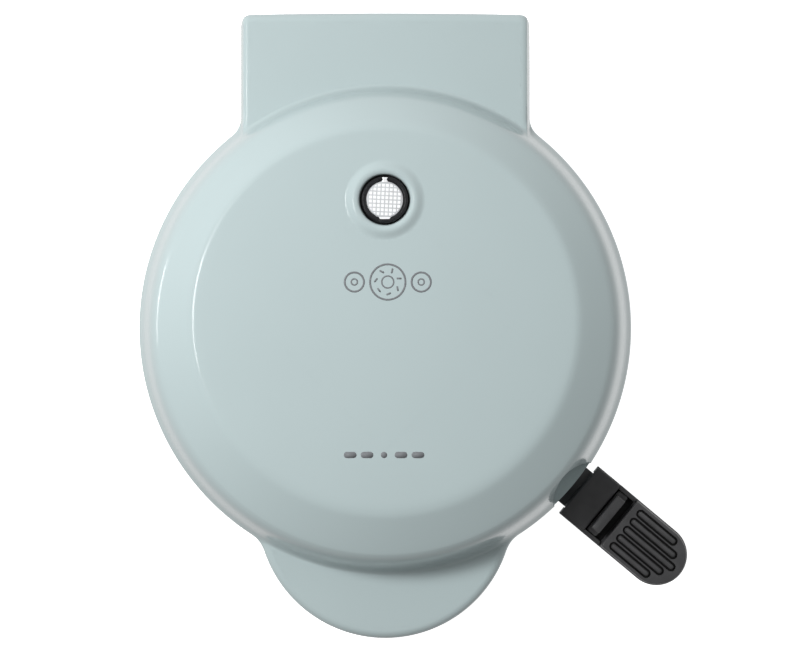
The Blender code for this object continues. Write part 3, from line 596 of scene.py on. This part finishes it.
def make_window():
    """Black bezel with a clear key at the top, and a white lens with a moulded square grid."""
    place = Matrix.Translation(LAMP * MM)
    bezel_low, bezel_high = box_mm("indicator_bezel")
    top = bezel_high.z - 0.2
    profile = [(7.62, bezel_low.z), (11.6, bezel_low.z), (11.6, bezel_low.z + 0.7),
               (9.45, bezel_low.z + 0.7), (9.45, top - 0.6), (9.3, top - 0.2), (8.95, top - 0.02),
               (8.6, top), (8.2, top - 0.06), (7.85, top - 0.25), (7.62, top - 0.6)]
    bezel = turned("bezel", profile, FINISH["black_plastic"], place, 128)
    key = [(-1.55, 9.15), (1.55, 9.15), (0.75, 8.3), (1.45, 7.2), (-1.45, 7.2), (-0.75, 8.3)]
    slot = loft("key_slot", [[(x * 1.1, y if y < 9 else 10.0, h) for x, y in reversed(key)]
                             for h in (top - 1.0, top + 1.0)], place=place)
    bump_outline = [(-2.0, -7.92), (2.0, -7.92), (2.5, -7.2), (-2.5, -7.2)]
    notch = loft("bump_slot", [[(x, y, h) for x, y in bump_outline] for h in (top - 1.2, top + 1.0)],
                 place=place)
    cut(bezel, slot, notch)
    bezel.data.set_sharp_from_angle(angle=math.radians(40.0))
    flat = block("bezel_flat", (-2.6, 2.6), (-9.0, -8.3), (top - 0.6, top + 0.12), place,
                 FINISH["black_plastic"])
    merge_meshes(bezel, [soften(flat, 0.1, 2)])
    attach(bezel, "lid")
    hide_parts("indicator_bezel")

    face = top - 0.45
    rounds = [(0.0, lens_low.z), (7.5, lens_low.z), (7.5, face - 0.3), (7.4, face - 0.08),
              (7.2, face), (0.0, face)]
    disc = turned("window_lens", rounds, FINISH["lens_floor"], place, 96)
    bump = loft("lens_bump", [[(x * 0.96, y + 0.05, h) for x, y in bump_outline]
                              for h in (face - 1.0, face + 0.1)], FINISH["clear_lens"], place)
    tab = loft("lens_key", [[(x, y - 0.03, h) for x, y in reversed(key)] for h in (top - 0.95, top - 0.1)],
               FINISH["clear_lens"], place)
    soften(tab, 0.15, 2)
    stroke = block("key_groove", (-0.12, 0.12), (7.4, 9.0), (top - 0.3, top - 0.06), place,
                   FINISH["lens_floor"])
    turn = math.radians(-2.5)
    cells = []
    for i in range(-5, 5):
        for j in range(-5, 5):
            cell = grid_cell(i, j, turn)
            if cell:
                cells.append(loft("cell", [[(x, y, face - 0.05) for x, y in cell[0]],
                                           [(x, y, face + 0.16) for x, y in cell[1]]],
                                  FINISH["clear_lens"], place))
    merge_meshes(disc, [bump, tab, stroke, *cells])
    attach(disc, "lid")
    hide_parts("indicator_lens")


def grid_cell(i, j, turn):
    """The foot and top outlines of one lens cell, kept inside the lens; None outside it."""
    middle = ((i + 0.5) * GRID_PITCH, (j + 0.5) * GRID_PITCH)
    if math.hypot(*middle) > 7.35:
        return None
    half = (GRID_PITCH - GRID_LINE) / 2
    outlines = []
    for size in (half, half - 0.1):
        square = []
        for k in range(4):
            a, b = ((-1, -1), (1, -1), (1, 1), (-1, 1))[k], ((1, -1), (1, 1), (-1, 1), (-1, -1))[k]
            for t in (0.0, 0.25, 0.5, 0.75):
                x = middle[0] + size * (a[0] + (b[0] - a[0]) * t)
                y = middle[1] + size * (a[1] + (b[1] - a[1]) * t)
                shrink = min(1.0, (7.0 if size == half else 6.9) / max(math.hypot(x, y), 1e-6))
                x, y = x * shrink, y * shrink
                square.append((x * math.cos(turn) - y * math.sin(turn),
                               x * math.sin(turn) + y * math.cos(turn)))
        outlines.append(square)
    return outlines


def print_mark(name, shapes):
    """A printed mark: flat outlines laid 0.03 mm over the lid. Each shape is (outer, inner)."""
    verts, faces = [], []
    for outer, inner in shapes:
        first = len(verts)
        n = len(outer)
        if inner:
            verts += outer + inner
            faces += [(first + i, first + (i + 1) % n, first + n + (i + 1) % n, first + n + i)
                      for i in range(n)]
        else:
            verts += outer
            faces.append(tuple(range(first, first + n)))
    flat = [(x, y, float(lid_height(np.array(x), np.array(y))) + 0.03) for x, y in verts]
    mark = add_object(name, mesh_from(name, flat, faces), FINISH["grey_print"])
    skin = mark.modifiers.new("ink", "SOLIDIFY")
    skin.thickness = 0.025 * MM
    skin.offset = -1.0
    apply_modifiers(mark)
    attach(mark, "lid")
    return mark


def circle(cx, cy, radius, count=72):
    return arc(cx, cy, radius, 0.0, 360.0 * (count - 1) / count, count - 1)


def capsule(cx, cy, length, width, degrees):
    """A round-ended dash."""
    half = (length - width) / 2
    points = arc(half, 0.0, width / 2, -90, 90, 8) + arc(-half, 0.0, width / 2, 90, 270, 8)
    c, s = math.cos(math.radians(degrees)), math.sin(math.radians(degrees))
    return [(cx + x * c - y * s, cy + x * s + y * c) for x, y in points]


def make_marks():
    """Generic printing: three ring cakes in a row, and a line of dashes further down."""
    rings = []
    for cx, size in ((-12.4, 4.3), (1.2, 7.6), (14.8, 4.3)):
        rings.append((circle(cx, 18.8, size), circle(cx, 18.8, size - 0.8)))
        rings.append((circle(cx, 18.8, size * 0.36), circle(cx, 18.8, size * 0.36 - 0.6)))
    for k in range(7):
        angle = 2 * math.pi * k / 7 + 0.3
        x, y = 1.2 + 4.85 * math.cos(angle), 18.8 + 4.85 * math.sin(angle)
        rings.append((capsule(x, y, 2.1, 0.75, 77.0 * k), None))
    print_mark("ring_print", rings)
    dashes = [(capsule(-0.3 + 6.9 * k, -51.6, 5.2 if k else 2.6, 2.6, 0.0), None)
              for k in (-2, -1, 0, 1, 2)]
    print_mark("dash_print", dashes)


# ---- base -------------------------------------------------------------------------------------
def base_rim(x, y):
    return hinge.z - 11.5 if abs(x) < 53.6 and y > 100.0 else BASE_RIM


def make_base_shell():
    mesh = shell_mesh("base_shell", base_plan, base_depth, base_rim, 66.0, 80.0, 420, 56, -1)
    shell = add_object("base_shell", mesh, FINISH["gloss_shell"])
    gland = rod("gland_hole", 7.3, -8.0, 8.0, at(0.0, BASE_REAR, 28.0) @ ALONG_Y)
    cut(shell, gland)
    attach(shell, "base")
    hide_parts("lower_shell")


def frame_plate(name, distance, inset, low, high, opening):
    """A flat frame that follows a plan outline, with a round opening; its caller softens its edges."""
    def inner(x, y):
        return distance(x, y) + inset
    fine = plan_outline(inner)
    points = pick(fine, spread(fine, 361, 3.0, math.radians(6.0)))[:-1]
    plate = loft(name, [[(x, y, h) for x, y in points] for h in (low, high)], FINISH["satin_frame"])
    cut(plate, rod("opening", opening, low - 2, high + 2, count=240))
    return plate


def make_lid_frame():
    low, high = box_mm("upper_frame")[0].z, 53.4
    plate = frame_plate("lid_frame", lid_plan, 2.9, low, high, PLATE_R + 1.0)
    cut(plate, block("notch", (-90, 90), (103.5, 150), (low - 2, high + 2)))
    soften(plate, 0.5, 2)
    ears = []
    for side in (-1, 1):
        points = [(-(high - 0.6 - hinge.z), 100.0 - hinge.y), (-(low + 0.5 - hinge.z), 100.0 - hinge.y)]
        points += arc(0.0, 0.0, 8.0, -18.2, 215.8, 40)
        x0, x1 = sorted((53.5 * side, 56.6 * side))
        ear = loft("ear", [[(x, y, h) for x, y in points] for h in (x0, x1)], FINISH["satin_frame"],
                   at(0, hinge.y, hinge.z) @ ALONG_X)
        cut(ear, rod("bore", 3.35, x0 - 1, x1 + 1, at(0, hinge.y, hinge.z) @ ALONG_X))
        ears.append(soften(ear, 0.4, 2))
    merge_meshes(plate, ears)
    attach(plate, "lid")
    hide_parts("upper_frame")


def merge_meshes(thing, others):
    """Joins other objects' meshes into an object as they are."""
    with bpy.context.temp_override(active_object=thing,
                                   selected_editable_objects=[thing, *others]):
        bpy.ops.object.join()
    return thing


def make_base_frame():
    high = box_mm("lower_plate")[1].z - 0.1
    plate = frame_plate("base_frame", base_plan, 4.2, 46.6, high, PLATE_R + 1.0)
    soften(plate, 0.5, 2)
    profile = [(0.0, -53.0), (10.2, -53.0), (10.77, -52.77), (11.0, -52.2), (11.0, 52.2), (10.77, 52.77),
               (10.2, 53.0), (0.0, 53.0)]
    barrel = turned("barrel", profile, FINISH["satin_frame"], at(0, hinge.y, hinge.z) @ ALONG_X, 96)
    sockets = []
    for side in (-1, 1):
        x0, x1 = sorted((43.5 * side, 54.0 * side))
        sockets.append(rod("socket", 3.35, x0, x1, at(0, hinge.y, hinge.z) @ ALONG_X))
    for k in range(-3, 4):
        groove = turned("groove", [(10.5, 13.0 * k - 0.5), (12.0, 13.0 * k - 0.5), (12.0, 13.0 * k + 0.5),
                                   (10.5, 13.0 * k + 0.5)], None, at(0, hinge.y, hinge.z) @ ALONG_X, 96)
        sockets.append(groove)
    cut(barrel, *sockets)
    barrel.data.set_sharp_from_angle(angle=math.radians(35.0))
    foot = block("foot", (-52.9, 52.9), (105.0, 109.4), (48.0, hinge.z), finish=FINISH["satin_frame"])
    soften(foot, 0.5, 2)
    merge_meshes(plate, [barrel, foot])
    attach(plate, "base")
    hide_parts("lower_frame")


# ---- plates -----------------------------------------------------------------------------------
RING_PITCH, RING_R, RING_TUBE = 56.0, 16.0, 9.0


def ring_places():
    places = [(0.0, 0.0)]
    for k in range(6):
        angle = math.radians(60.0 * k + 30.0)
        places.append((RING_PITCH * math.cos(angle), RING_PITCH * math.sin(angle)))
    return places


def cavity_profile():
    """Radius and depth across one ring cavity, from the post's middle to its rim."""
    lip = 1.1
    trough = [(RING_R + RING_TUBE * math.sin(a), -RING_TUBE * math.cos(a))
              for a in np.radians(np.linspace(-78.0, 78.0, 40))]
    post = trough[0][0] - 0.2
    inner = [(post - lip * math.cos(a), -lip + lip * math.sin(a) - 0.3)
             for a in np.radians(np.linspace(90.0, 10.0, 7))]
    outer = [(2 * RING_R - r, h) for r, h in reversed(inner)]
    return [(0.01, -0.3), (post - lip - 0.5, -0.3)] + inner + trough + outer


def cooking_plate(name, node, face, away, body):
    """A plate whose face sheet carries seven ring cavities; away is -1 when they sink down."""
    count = 96
    line = cavity_profile()
    line.append((line[-1][0] + 0.6, 0.0))
    rim = line[-1][0]
    verts, faces = [], []
    for cx, cy in ring_places():
        first = len(verts)
        n = len(line)
        for i in range(count):
            angle = 2 * math.pi * i / count
            verts += [(cx + r * math.cos(angle), cy + r * math.sin(angle), face - away * h)
                      for r, h in line]
        for i in range(count):
            a, b = first + i * n, first + ((i + 1) % count) * n
            faces += [(a + k, a + k + 1, b + k + 1, b + k) for k in range(n - 1)]
    if away > 0:
        faces = [tuple(reversed(f)) for f in faces]
    cavities = add_object(name, mesh_from(name, verts, faces, 50.0), FINISH["nonstick_coating"])
    curve = bpy.data.curves.new("land", "CURVE")
    curve.dimensions = "2D"
    curve.fill_mode = "BOTH"
    loops = [circle(cx, cy, rim, count) for cx, cy in ring_places()] + [circle(0, 0, 87.6, 240)]
    for loop in loops:
        spline = curve.splines.new("POLY")
        spline.points.add(len(loop) - 1)
        for point, (x, y) in zip(spline.points, loop):
            point.co = (x * MM, y * MM, 0.0, 1.0)
        spline.use_cyclic_u = True
    flat = bpy.data.objects.new("land", curve)
    bpy.context.scene.collection.objects.link(flat)
    graph = bpy.context.evaluated_depsgraph_get()
    graph.update()
    mesh = bpy.data.meshes.new_from_object(flat.evaluated_get(graph))
    bpy.data.objects.remove(flat)
    work = bmesh.new()
    work.from_mesh(mesh)
    for v in work.verts:
        v.co.z = face * MM
    bmesh.ops.recalc_face_normals(work, faces=work.faces)
    if (work.faces[:] or [None])[0].normal.z * -away < 0:
        bmesh.ops.reverse_faces(work, faces=work.faces)
    work.to_mesh(mesh)
    work.free()
    land = add_object("land", mesh, FINISH["nonstick_coating"])
    edge_line = [(87.6, 0.0), (87.9, -0.1), (88.2, -0.55), (88.6, -0.75), (89.2, -0.75), (89.6, -0.55),
                 (89.9, -0.1), (90.2, 0.0), (91.3, 0.0), (91.8, -0.2), (92.0, -0.7), (92.0, -3.0)]
    rings = [[(r * math.cos(2 * math.pi * i / 240), r * math.sin(2 * math.pi * i / 240), face - away * h)
              for i in range(240)] for r, h in edge_line]
    rings = rings if away > 0 else rings[::-1]
    edge = loft("edge", rings, FINISH["nonstick_coating"], None, 50.0, closed=False)
    merge_meshes(cavities, [land, edge])
    weld = cavities.modifiers.new("weld", "WELD")
    weld.merge_threshold = 0.00002
    thick = cavities.modifiers.new("thick", "SOLIDIFY")
    thick.thickness = 1.6 * MM
    thick.offset = -1.0
    apply_modifiers(cavities)
    cavities.data.shade_smooth()
    cavities.data.set_sharp_from_angle(angle=math.radians(40.0))
    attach(cavities, body)
    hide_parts(node)


# ---- latch ------------------------------------------------------------------------------------
LATCH_TURN = Matrix.Rotation(LATCH_ANGLE, 4, "Z")


def lever_part(name, outline, layers, width=0.0, finish="latch_plastic"):
    """A closed solid of the lever, lofted through (inset, height) layers of an outline."""
    part = loft(name, [[(x, y, h) for x, y in outline(inset)] for inset, h in layers],
                FINISH[finish], LATCH_TURN, 40.0)
    return soften(part, width, 2) if width else part


def pad_outline(inset, start, corner=1.2):
    """From a straight edge out to the lever's round tip."""
    half = LATCH_HALF - inset
    points = arc(LATCH_TIP - LATCH_HALF, 0.0, half, -90.0, 90.0, 40)
    points += arc(start + inset + corner, half - corner, corner, 90.0, 180.0, 5)
    points += arc(start + inset + corner, corner - half, corner, 180.0, 270.0, 5)
    return points


RIBS = ((-2, 152.6), (-1, 156.2), (0, 158.9), (1, 156.2), (2, 152.6))
RIB_START = 132.5
RIB_PITCH = 4.45


def make_lever():
    """Finger pad, bridge, top plate and hook; a hollow underside and two cheeks on the pin.
    The bridge and the floors of the rib channels are near black: painted shade.
    """
    top = 48.6
    edge = ((0.3, 43.4), (0.0, 43.7), (0.0, 44.3), (0.34, 44.7), (0.62, 45.4), (0.75, 47.2))
    pad = lever_part("latch_handle", lambda inset: pad_outline(inset, 128.2),
                     edge + ((0.8, 47.9), (0.95, 48.3), (1.2, 48.52), (1.6, top)))
    channels = [loft("channel", [[(x, y, h) for x, y in rib_outline(k, end, 1.95)]
                                 for h in (top - 0.95, top + 1.0)], place=LATCH_TURN)
                for k, end in RIBS]
    cut(pad, *channels)
    pad.data.set_sharp_from_angle(angle=math.radians(40.0))
    # The bridge is the floor of the deep groove between hook and pad; its near-black finish is painted shade
    parts = [lever_part("bridge", lambda inset: rectangle(113.4, 130.0, LATCH_HALF - inset, 0.3),
                        ((0.3, 43.4), (0.0, 43.7), (0.0, 44.3), (0.3, 44.5)),
                        finish="groove_painted_shade")]
    parts.append(lever_part("near_wall", lambda inset: rectangle(113.4, 119.2, LATCH_HALF - 0.35 - inset,
                                                                 0.3), ((0.0, 44.0), (0.0, 49.0))))
    parts.append(lever_part("top_plate", lambda inset: rectangle(LATCH_BACK + inset, 119.3 - inset,
                                                                 LATCH_HALF - 0.35 - inset, 1.3),
                            ((0.35, 48.6), (0.0, 48.9), (0.0, 49.9), (0.12, 50.25), (0.4, 50.45),
                             (0.75, 50.5))))
    for side in (-1, 1):
        cheek = [(LATCH_BACK, 43.7), (LATCH_BACK + 0.3, 43.4), (114.2, 43.4), (114.2, 48.9),
                 (LATCH_BACK, 48.9)]
        parts.append(side_plate("cheek", cheek, 9.75 * side, 12.95 * side, 0.25))
        web = [(118.8, 49.6), (121.6, 49.5), (125.0, 48.2), (128.4, 47.2), (128.4, 44.0),
               (118.8, 44.0)]
        parts.append(side_plate("web", web, 11.0 * side, (12.75 if side < 0 else 13.0) * side, 0.4))
    parts.append(lever_part("hook_foot", lambda inset: rectangle(120.2, 125.1, 10.9 - inset, 0.6),
                            ((0.0, 44.0), (0.0, 47.2), (0.4, 47.6))))
    hook = block("hook", (120.6, 124.8), (-8.7, 8.7), (46.0, 54.0), LATCH_TURN,
                 FINISH["latch_plastic"])
    parts.append(soften(hook, 0.5, 3))
    for k, end in RIBS:
        # A near-black sheet laid on each channel's floor: painted shade between the ribs
        parts.append(loft("channel_painted_shade", [[(x, y, h) for x, y in rib_outline(k, end, 2.0)]
                                            for h in (top - 1.1, top - 0.8)],
                          FINISH["groove_painted_shade"], LATCH_TURN))
        parts.append(finger_rib(k, end, top))
    merge_meshes(pad, parts)
    pad.data.transform(LATCH_TURN)
    pad.matrix_world = Matrix.Translation(AXIS * MM)
    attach(pad, "latch")
    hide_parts("latch_lever")


def rib_outline(k, end, half):
    """A round-ended strip along the lever, half its width to each side of rib k's line."""
    middle = RIB_PITCH * k
    grown = half - 1.1
    return (arc(end - half + grown, middle, half, -90, 90, 12)
            + arc(RIB_START + half - grown, middle, half, 90, 270, 12))


def rectangle(x0, x1, half, corner):
    points = arc(x1 - corner, half - corner, corner, 0.0, 90.0, 5)
    points += arc(x0 + corner, half - corner, corner, 90.0, 180.0, 5)
    points += arc(x0 + corner, corner - half, corner, 180.0, 270.0, 5)
    return points + arc(x1 - corner, corner - half, corner, 270.0, 360.0, 5)


def side_plate(name, outline, y0, y1, width):
    """An upright plate of the lever from its (reach, height) outline."""
    y0, y1 = sorted((y0, y1))
    plate = loft(name, [[(x, y, z) for x, z in outline] for y in (y1, y0)],
                 FINISH["latch_plastic"], LATCH_TURN)
    return soften(plate, width, 2)


def finger_rib(k, end, top):
    """A rounded ridge that stands in its channel on the finger pad."""
    rings = []
    for degrees in (0, 15, 30, 45, 60, 72, 82):
        drop = 1.1 * (1.0 - math.cos(math.radians(degrees)))
        height = top - 0.45 + 1.35 * math.sin(math.radians(degrees))
        ring = [(x, y, height) for x, y in rib_outline(k, end - drop, 1.1 - drop)]
        rings.append(ring)
    rings.insert(0, [(x, y, top - 1.2) for x, y, _ in rings[0]])
    return loft("rib", rings, FINISH["latch_plastic"], LATCH_TURN, sharp=60.0)


def make_bracket():
    profile = [(101.3, 33.0), (103.4, 33.0), (104.4, 36.2), (109.6, 41.4)]
    profile += arc(LATCH_PIVOT, pivot.z, 2.6, -60.0, 200.0, 24)
    profile += [(106.9, 42.8), (101.3, 42.8)]
    upright = LATCH_TURN @ Matrix.Rotation(math.pi / 2, 4, "X")
    bracket = loft("latch_bracket_body", [[(x, y, h) for x, y in profile] for h in (-9.3, 9.3)],
                   FINISH["latch_plastic"], upright)
    axis = LATCH_TURN @ at(LATCH_PIVOT, 0.0, pivot.z) @ ALONG_Y
    screw_axis = LATCH_TURN @ at(0.0, 0.0, 38.4) @ ALONG_X
    cut(bracket, rod("bore", 1.8, -10, 10, axis), rod("screw_hole", 1.65, 98.0, 110.0, screw_axis))
    soften(bracket, 0.35, 2)
    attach(bracket, "base")
    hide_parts("latch_bracket")


# ---- underside, gland and fasteners -----------------------------------------------------------
def make_cover():
    low, high = (corner.z for corner in box_mm("bottom_cover"))
    profile = [(0.0, low), (78.2, low), (78.8, low + 0.25), (79.0, low + 0.8), (79.0, high), (0.0, high)]
    cover = turned("base_cover", profile, FINISH["black_plastic"], None, 200)
    tools = []
    for k in range(-3, 4):
        half = 24.0 - 2.5 * abs(k)
        outline = arc(half - 1.6, 8.0 * k, 1.6, -90, 90, 8) + arc(1.6 - half, 8.0 * k, 1.6, 90, 270, 8)
        tools.append(loft("vent", [[(x, y, h) for x, y in outline] for h in (low - 1, high + 1)]))
    for k in range(4):
        angle = math.pi / 2 * k
        tools.append(rod("clearance", 1.75, low - 1, high + 1,
                         at(71.5 * math.cos(angle), 71.5 * math.sin(angle), 0.0)))
    for radius in (56.0, 30.5):
        ring = [(radius, low - 1), (radius + 1.2, low - 1), (radius + 1.2, low + 0.5), (radius, low + 0.5)]
        tools.append(turned("ring_groove", ring, None, None, 160))
    cut(cover, *tools)
    soften(cover, 0.25, 2)
    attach(cover, "base")
    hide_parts("bottom_cover")


def make_feet():
    for node in ("foot_front_left", "foot_front_right", "foot_rear_left", "foot_rear_right"):
        low, high = box_mm(node)
        centre = (low + high) / 2 - AXIS
        profile = [(0.0, 0.9), (3.0, 0.9), (3.6, 0.7), (4.2, 0.0), (6.2, 0.0), (7.0, 0.3), (7.5, 1.0),
                   (8.2, high.z - 0.4), (8.2, high.z), (0.0, high.z)]
        foot = turned(f"{node}_pad", profile, FINISH["rubber_foot"], at(centre.x, centre.y, 0.0), 64)
        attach(foot, "base")
        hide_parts(node)


def make_screws():
    """Pan heads with a cross recess; all of them stand upright."""
    names = [n for n in frame["nodes"] if "_screw_" in n]
    for node in sorted(names):
        low, high = box_mm(node)
        centre = (low + high) / 2 - AXIS
        down = node.startswith("base_frame")
        profile = [(0.0, 0.0), (1.7, 0.0), (2.3, 0.25), (2.62, 0.8), (2.62, 1.6), (1.3, 1.6),
                   (1.3, high.z - low.z - 0.6), (0.6, high.z - low.z), (0.0, high.z - low.z)]
        place = at(centre.x, centre.y, high.z if down else low.z)
        if down:
            place = place @ Matrix.Rotation(math.pi, 4, "X")
        screw = turned(f"{node}_body", profile, FINISH["steel"], place, 40)
        cut(screw, block("cross_a", (-1.3, 1.3), (-0.28, 0.28), (-0.5, 0.9), place),
            block("cross_b", (-0.28, 0.28), (-1.3, 1.3), (-0.5, 0.9), place))
        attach(screw, "lid" if node.startswith("lid") else "base")
        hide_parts(node)


def make_gland():
    profile = [(3.7, -10.0), (7.0, -10.0), (7.0, 0.35), (9.0, 0.35), (9.0, 1.6), (8.8, 2.2), (8.2, 2.8),
               (7.3, 3.2), (6.2, 3.4), (4.4, 3.4), (3.9, 3.15), (3.7, 2.6)]
    place = at(0.0, BASE_REAR, 28.0) @ ALONG_Y
    gland = turned("inlet_gland", profile, FINISH["black_plastic"], place, 72)
    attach(gland, "base")
    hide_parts("cord_gland")


def finish_hidden_nodes():
    """Nodes that keep their CAD shape take the material of their slot."""
    slots = {entry["node"]: entry["material_slot"] for entry in frame["record"]["subparts"]}
    for name, node in frame["nodes"].items():
        node.data.materials.clear()
        node.data.materials.append(FINISH[slots[name]])
        node.data.shade_smooth()
        node.data.set_sharp_from_angle(angle=math.radians(35.0))


# ---- stage ------------------------------------------------------------------------------------
def area_light(name, place, target, size, power):
    light = bpy.data.lights.new(name, "AREA")
    light.shape = "RECTANGLE"
    light.size, light.size_y = size
    light.energy = power
    lamp = bpy.data.objects.new(name, light)
    bpy.context.scene.collection.objects.link(lamp)
    lamp.location = place
    lamp.rotation_euler = (Vector(target) - Vector(place)).to_track_quat("-Z", "Y").to_euler()
    return lamp


FLOOR_HALF = 9.0                  # metres
FLOOR_Z = -0.0002
CAMERA_SIDE = 0.0066              # camera's place beside the plates' axis, in metres
CAMERA_BACK = 0.0013
CAMERA_HEIGHT = 1.254
CAMERA_LENS = 127.7               # millimetres, on a 36 mm sensor
STRIPS = (  # name, place, aim, size and power of the lights that draw the left highlights
    ("left_strip", (-0.56, 0.105, 1.05), (0.0, 0.105, 0.08), (0.19, 0.1), 0.9),
    ("left_strip_end", (-0.56, -0.06, 1.05), (0.0, -0.06, 0.08), (0.14, 0.1), 0.45),
    ("left_low", (-1.1, 0.2, 0.1), (0.0, 0.2, 0.08), (0.26, 0.12), 0.8),
    ("left_low_end", (-1.1, 0.0, 0.1), (0.0, 0.0, 0.08), (0.14, 0.12), 0.22),
)
SKY_BASE = 0.58                   # brightness at the horizon
SKY_SLOPE = (0.12, 0.2, -0.35)    # gain towards +x, +y and +z: dim overhead, bright by the table


def make_world():
    """Plain studio surroundings: one even gradient, with the white table's light from below."""
    world = bpy.data.worlds.new("studio")
    bpy.context.scene.world = world
    world.use_nodes = True
    nodes, links = world.node_tree.nodes, world.node_tree.links
    direction = nodes.new("ShaderNodeTexCoord").outputs["Generated"]
    slope = nodes.new("ShaderNodeVectorMath")
    slope.operation = "DOT_PRODUCT"
    links.new(direction, slope.inputs[0])
    slope.inputs[1].default_value = SKY_SLOPE
    lift = nodes.new("ShaderNodeMath")
    lift.operation = "ADD"
    links.new(slope.outputs["Value"], lift.inputs[0])
    lift.inputs[1].default_value = SKY_BASE
    links.new(lift.outputs["Value"], nodes["Background"].inputs["Strength"])
    nodes["Background"].inputs["Color"].default_value = (1.0, 1.0, 1.0, 1.0)


def make_floor():
    """A plain pale floor that gives off its own light and throws none on the object."""
    half = FLOOR_HALF
    mesh = bpy.data.meshes.new("floor")
    mesh.from_pydata([(-half, -half, 0), (half, -half, 0), (half, half, 0), (-half, half, 0)], [],
                     [(0, 1, 2, 3)])
    floor = bpy.data.objects.new("floor", mesh)
    bpy.context.scene.collection.objects.link(floor)
    floor.location.z = FLOOR_Z
    floor.visible_diffuse = False
    floor.visible_glossy = False
    floor.visible_shadow = False
    paper = bpy.data.materials.new("floor_paper")
    paper.use_nodes = True
    shader = paper.node_tree.nodes["Principled BSDF"]
    shader.inputs["Base Color"].default_value = (0.9, 0.9, 0.9, 1.0)
    shader.inputs["Roughness"].default_value = 0.9
    shader.inputs["Emission Color"].default_value = (1.0, 1.0, 1.0, 1.0)
    shader.inputs["Emission Strength"].default_value = 0.85
    mesh.materials.append(paper)


def make_lights():
    key = area_light("key", (-0.4, 0.2, 0.7), (0.0, 0.0, 0.09), (0.2, 0.2), 5.8)
    key.visible_glossy = False
    for strip in STRIPS:
        area_light(*strip)


def make_camera():
    """Straight down, as in the usual top view of such a machine."""
    bpy.context.scene.view_settings.view_transform = "Standard"
    camera = bpy.data.cameras.new("camera")
    camera.lens = CAMERA_LENS
    camera.sensor_width = 36.0
    camera.clip_end = 20.0
    view = bpy.data.objects.new("camera", camera)
    bpy.context.scene.collection.objects.link(view)
    view.location = (AXIS.x * MM + CAMERA_SIDE, AXIS.y * MM + CAMERA_BACK, CAMERA_HEIGHT)
    bpy.context.scene.camera = view


make_floor()
make_world()
make_lights()
make_camera()
finish_hidden_nodes()
make_lid_shell()
make_window()
make_marks()
make_base_shell()
make_lid_frame()
make_base_frame()
cooking_plate("lower_cooking_plate", "lower_plate", box_mm("lower_plate")[1].z, -1.0, "base")
cooking_plate("upper_cooking_plate", "upper_plate", box_mm("upper_plate")[0].z, 1.0, "lid")
make_lever()
make_bracket()
make_cover()
make_feet()
make_screws()
make_gland()
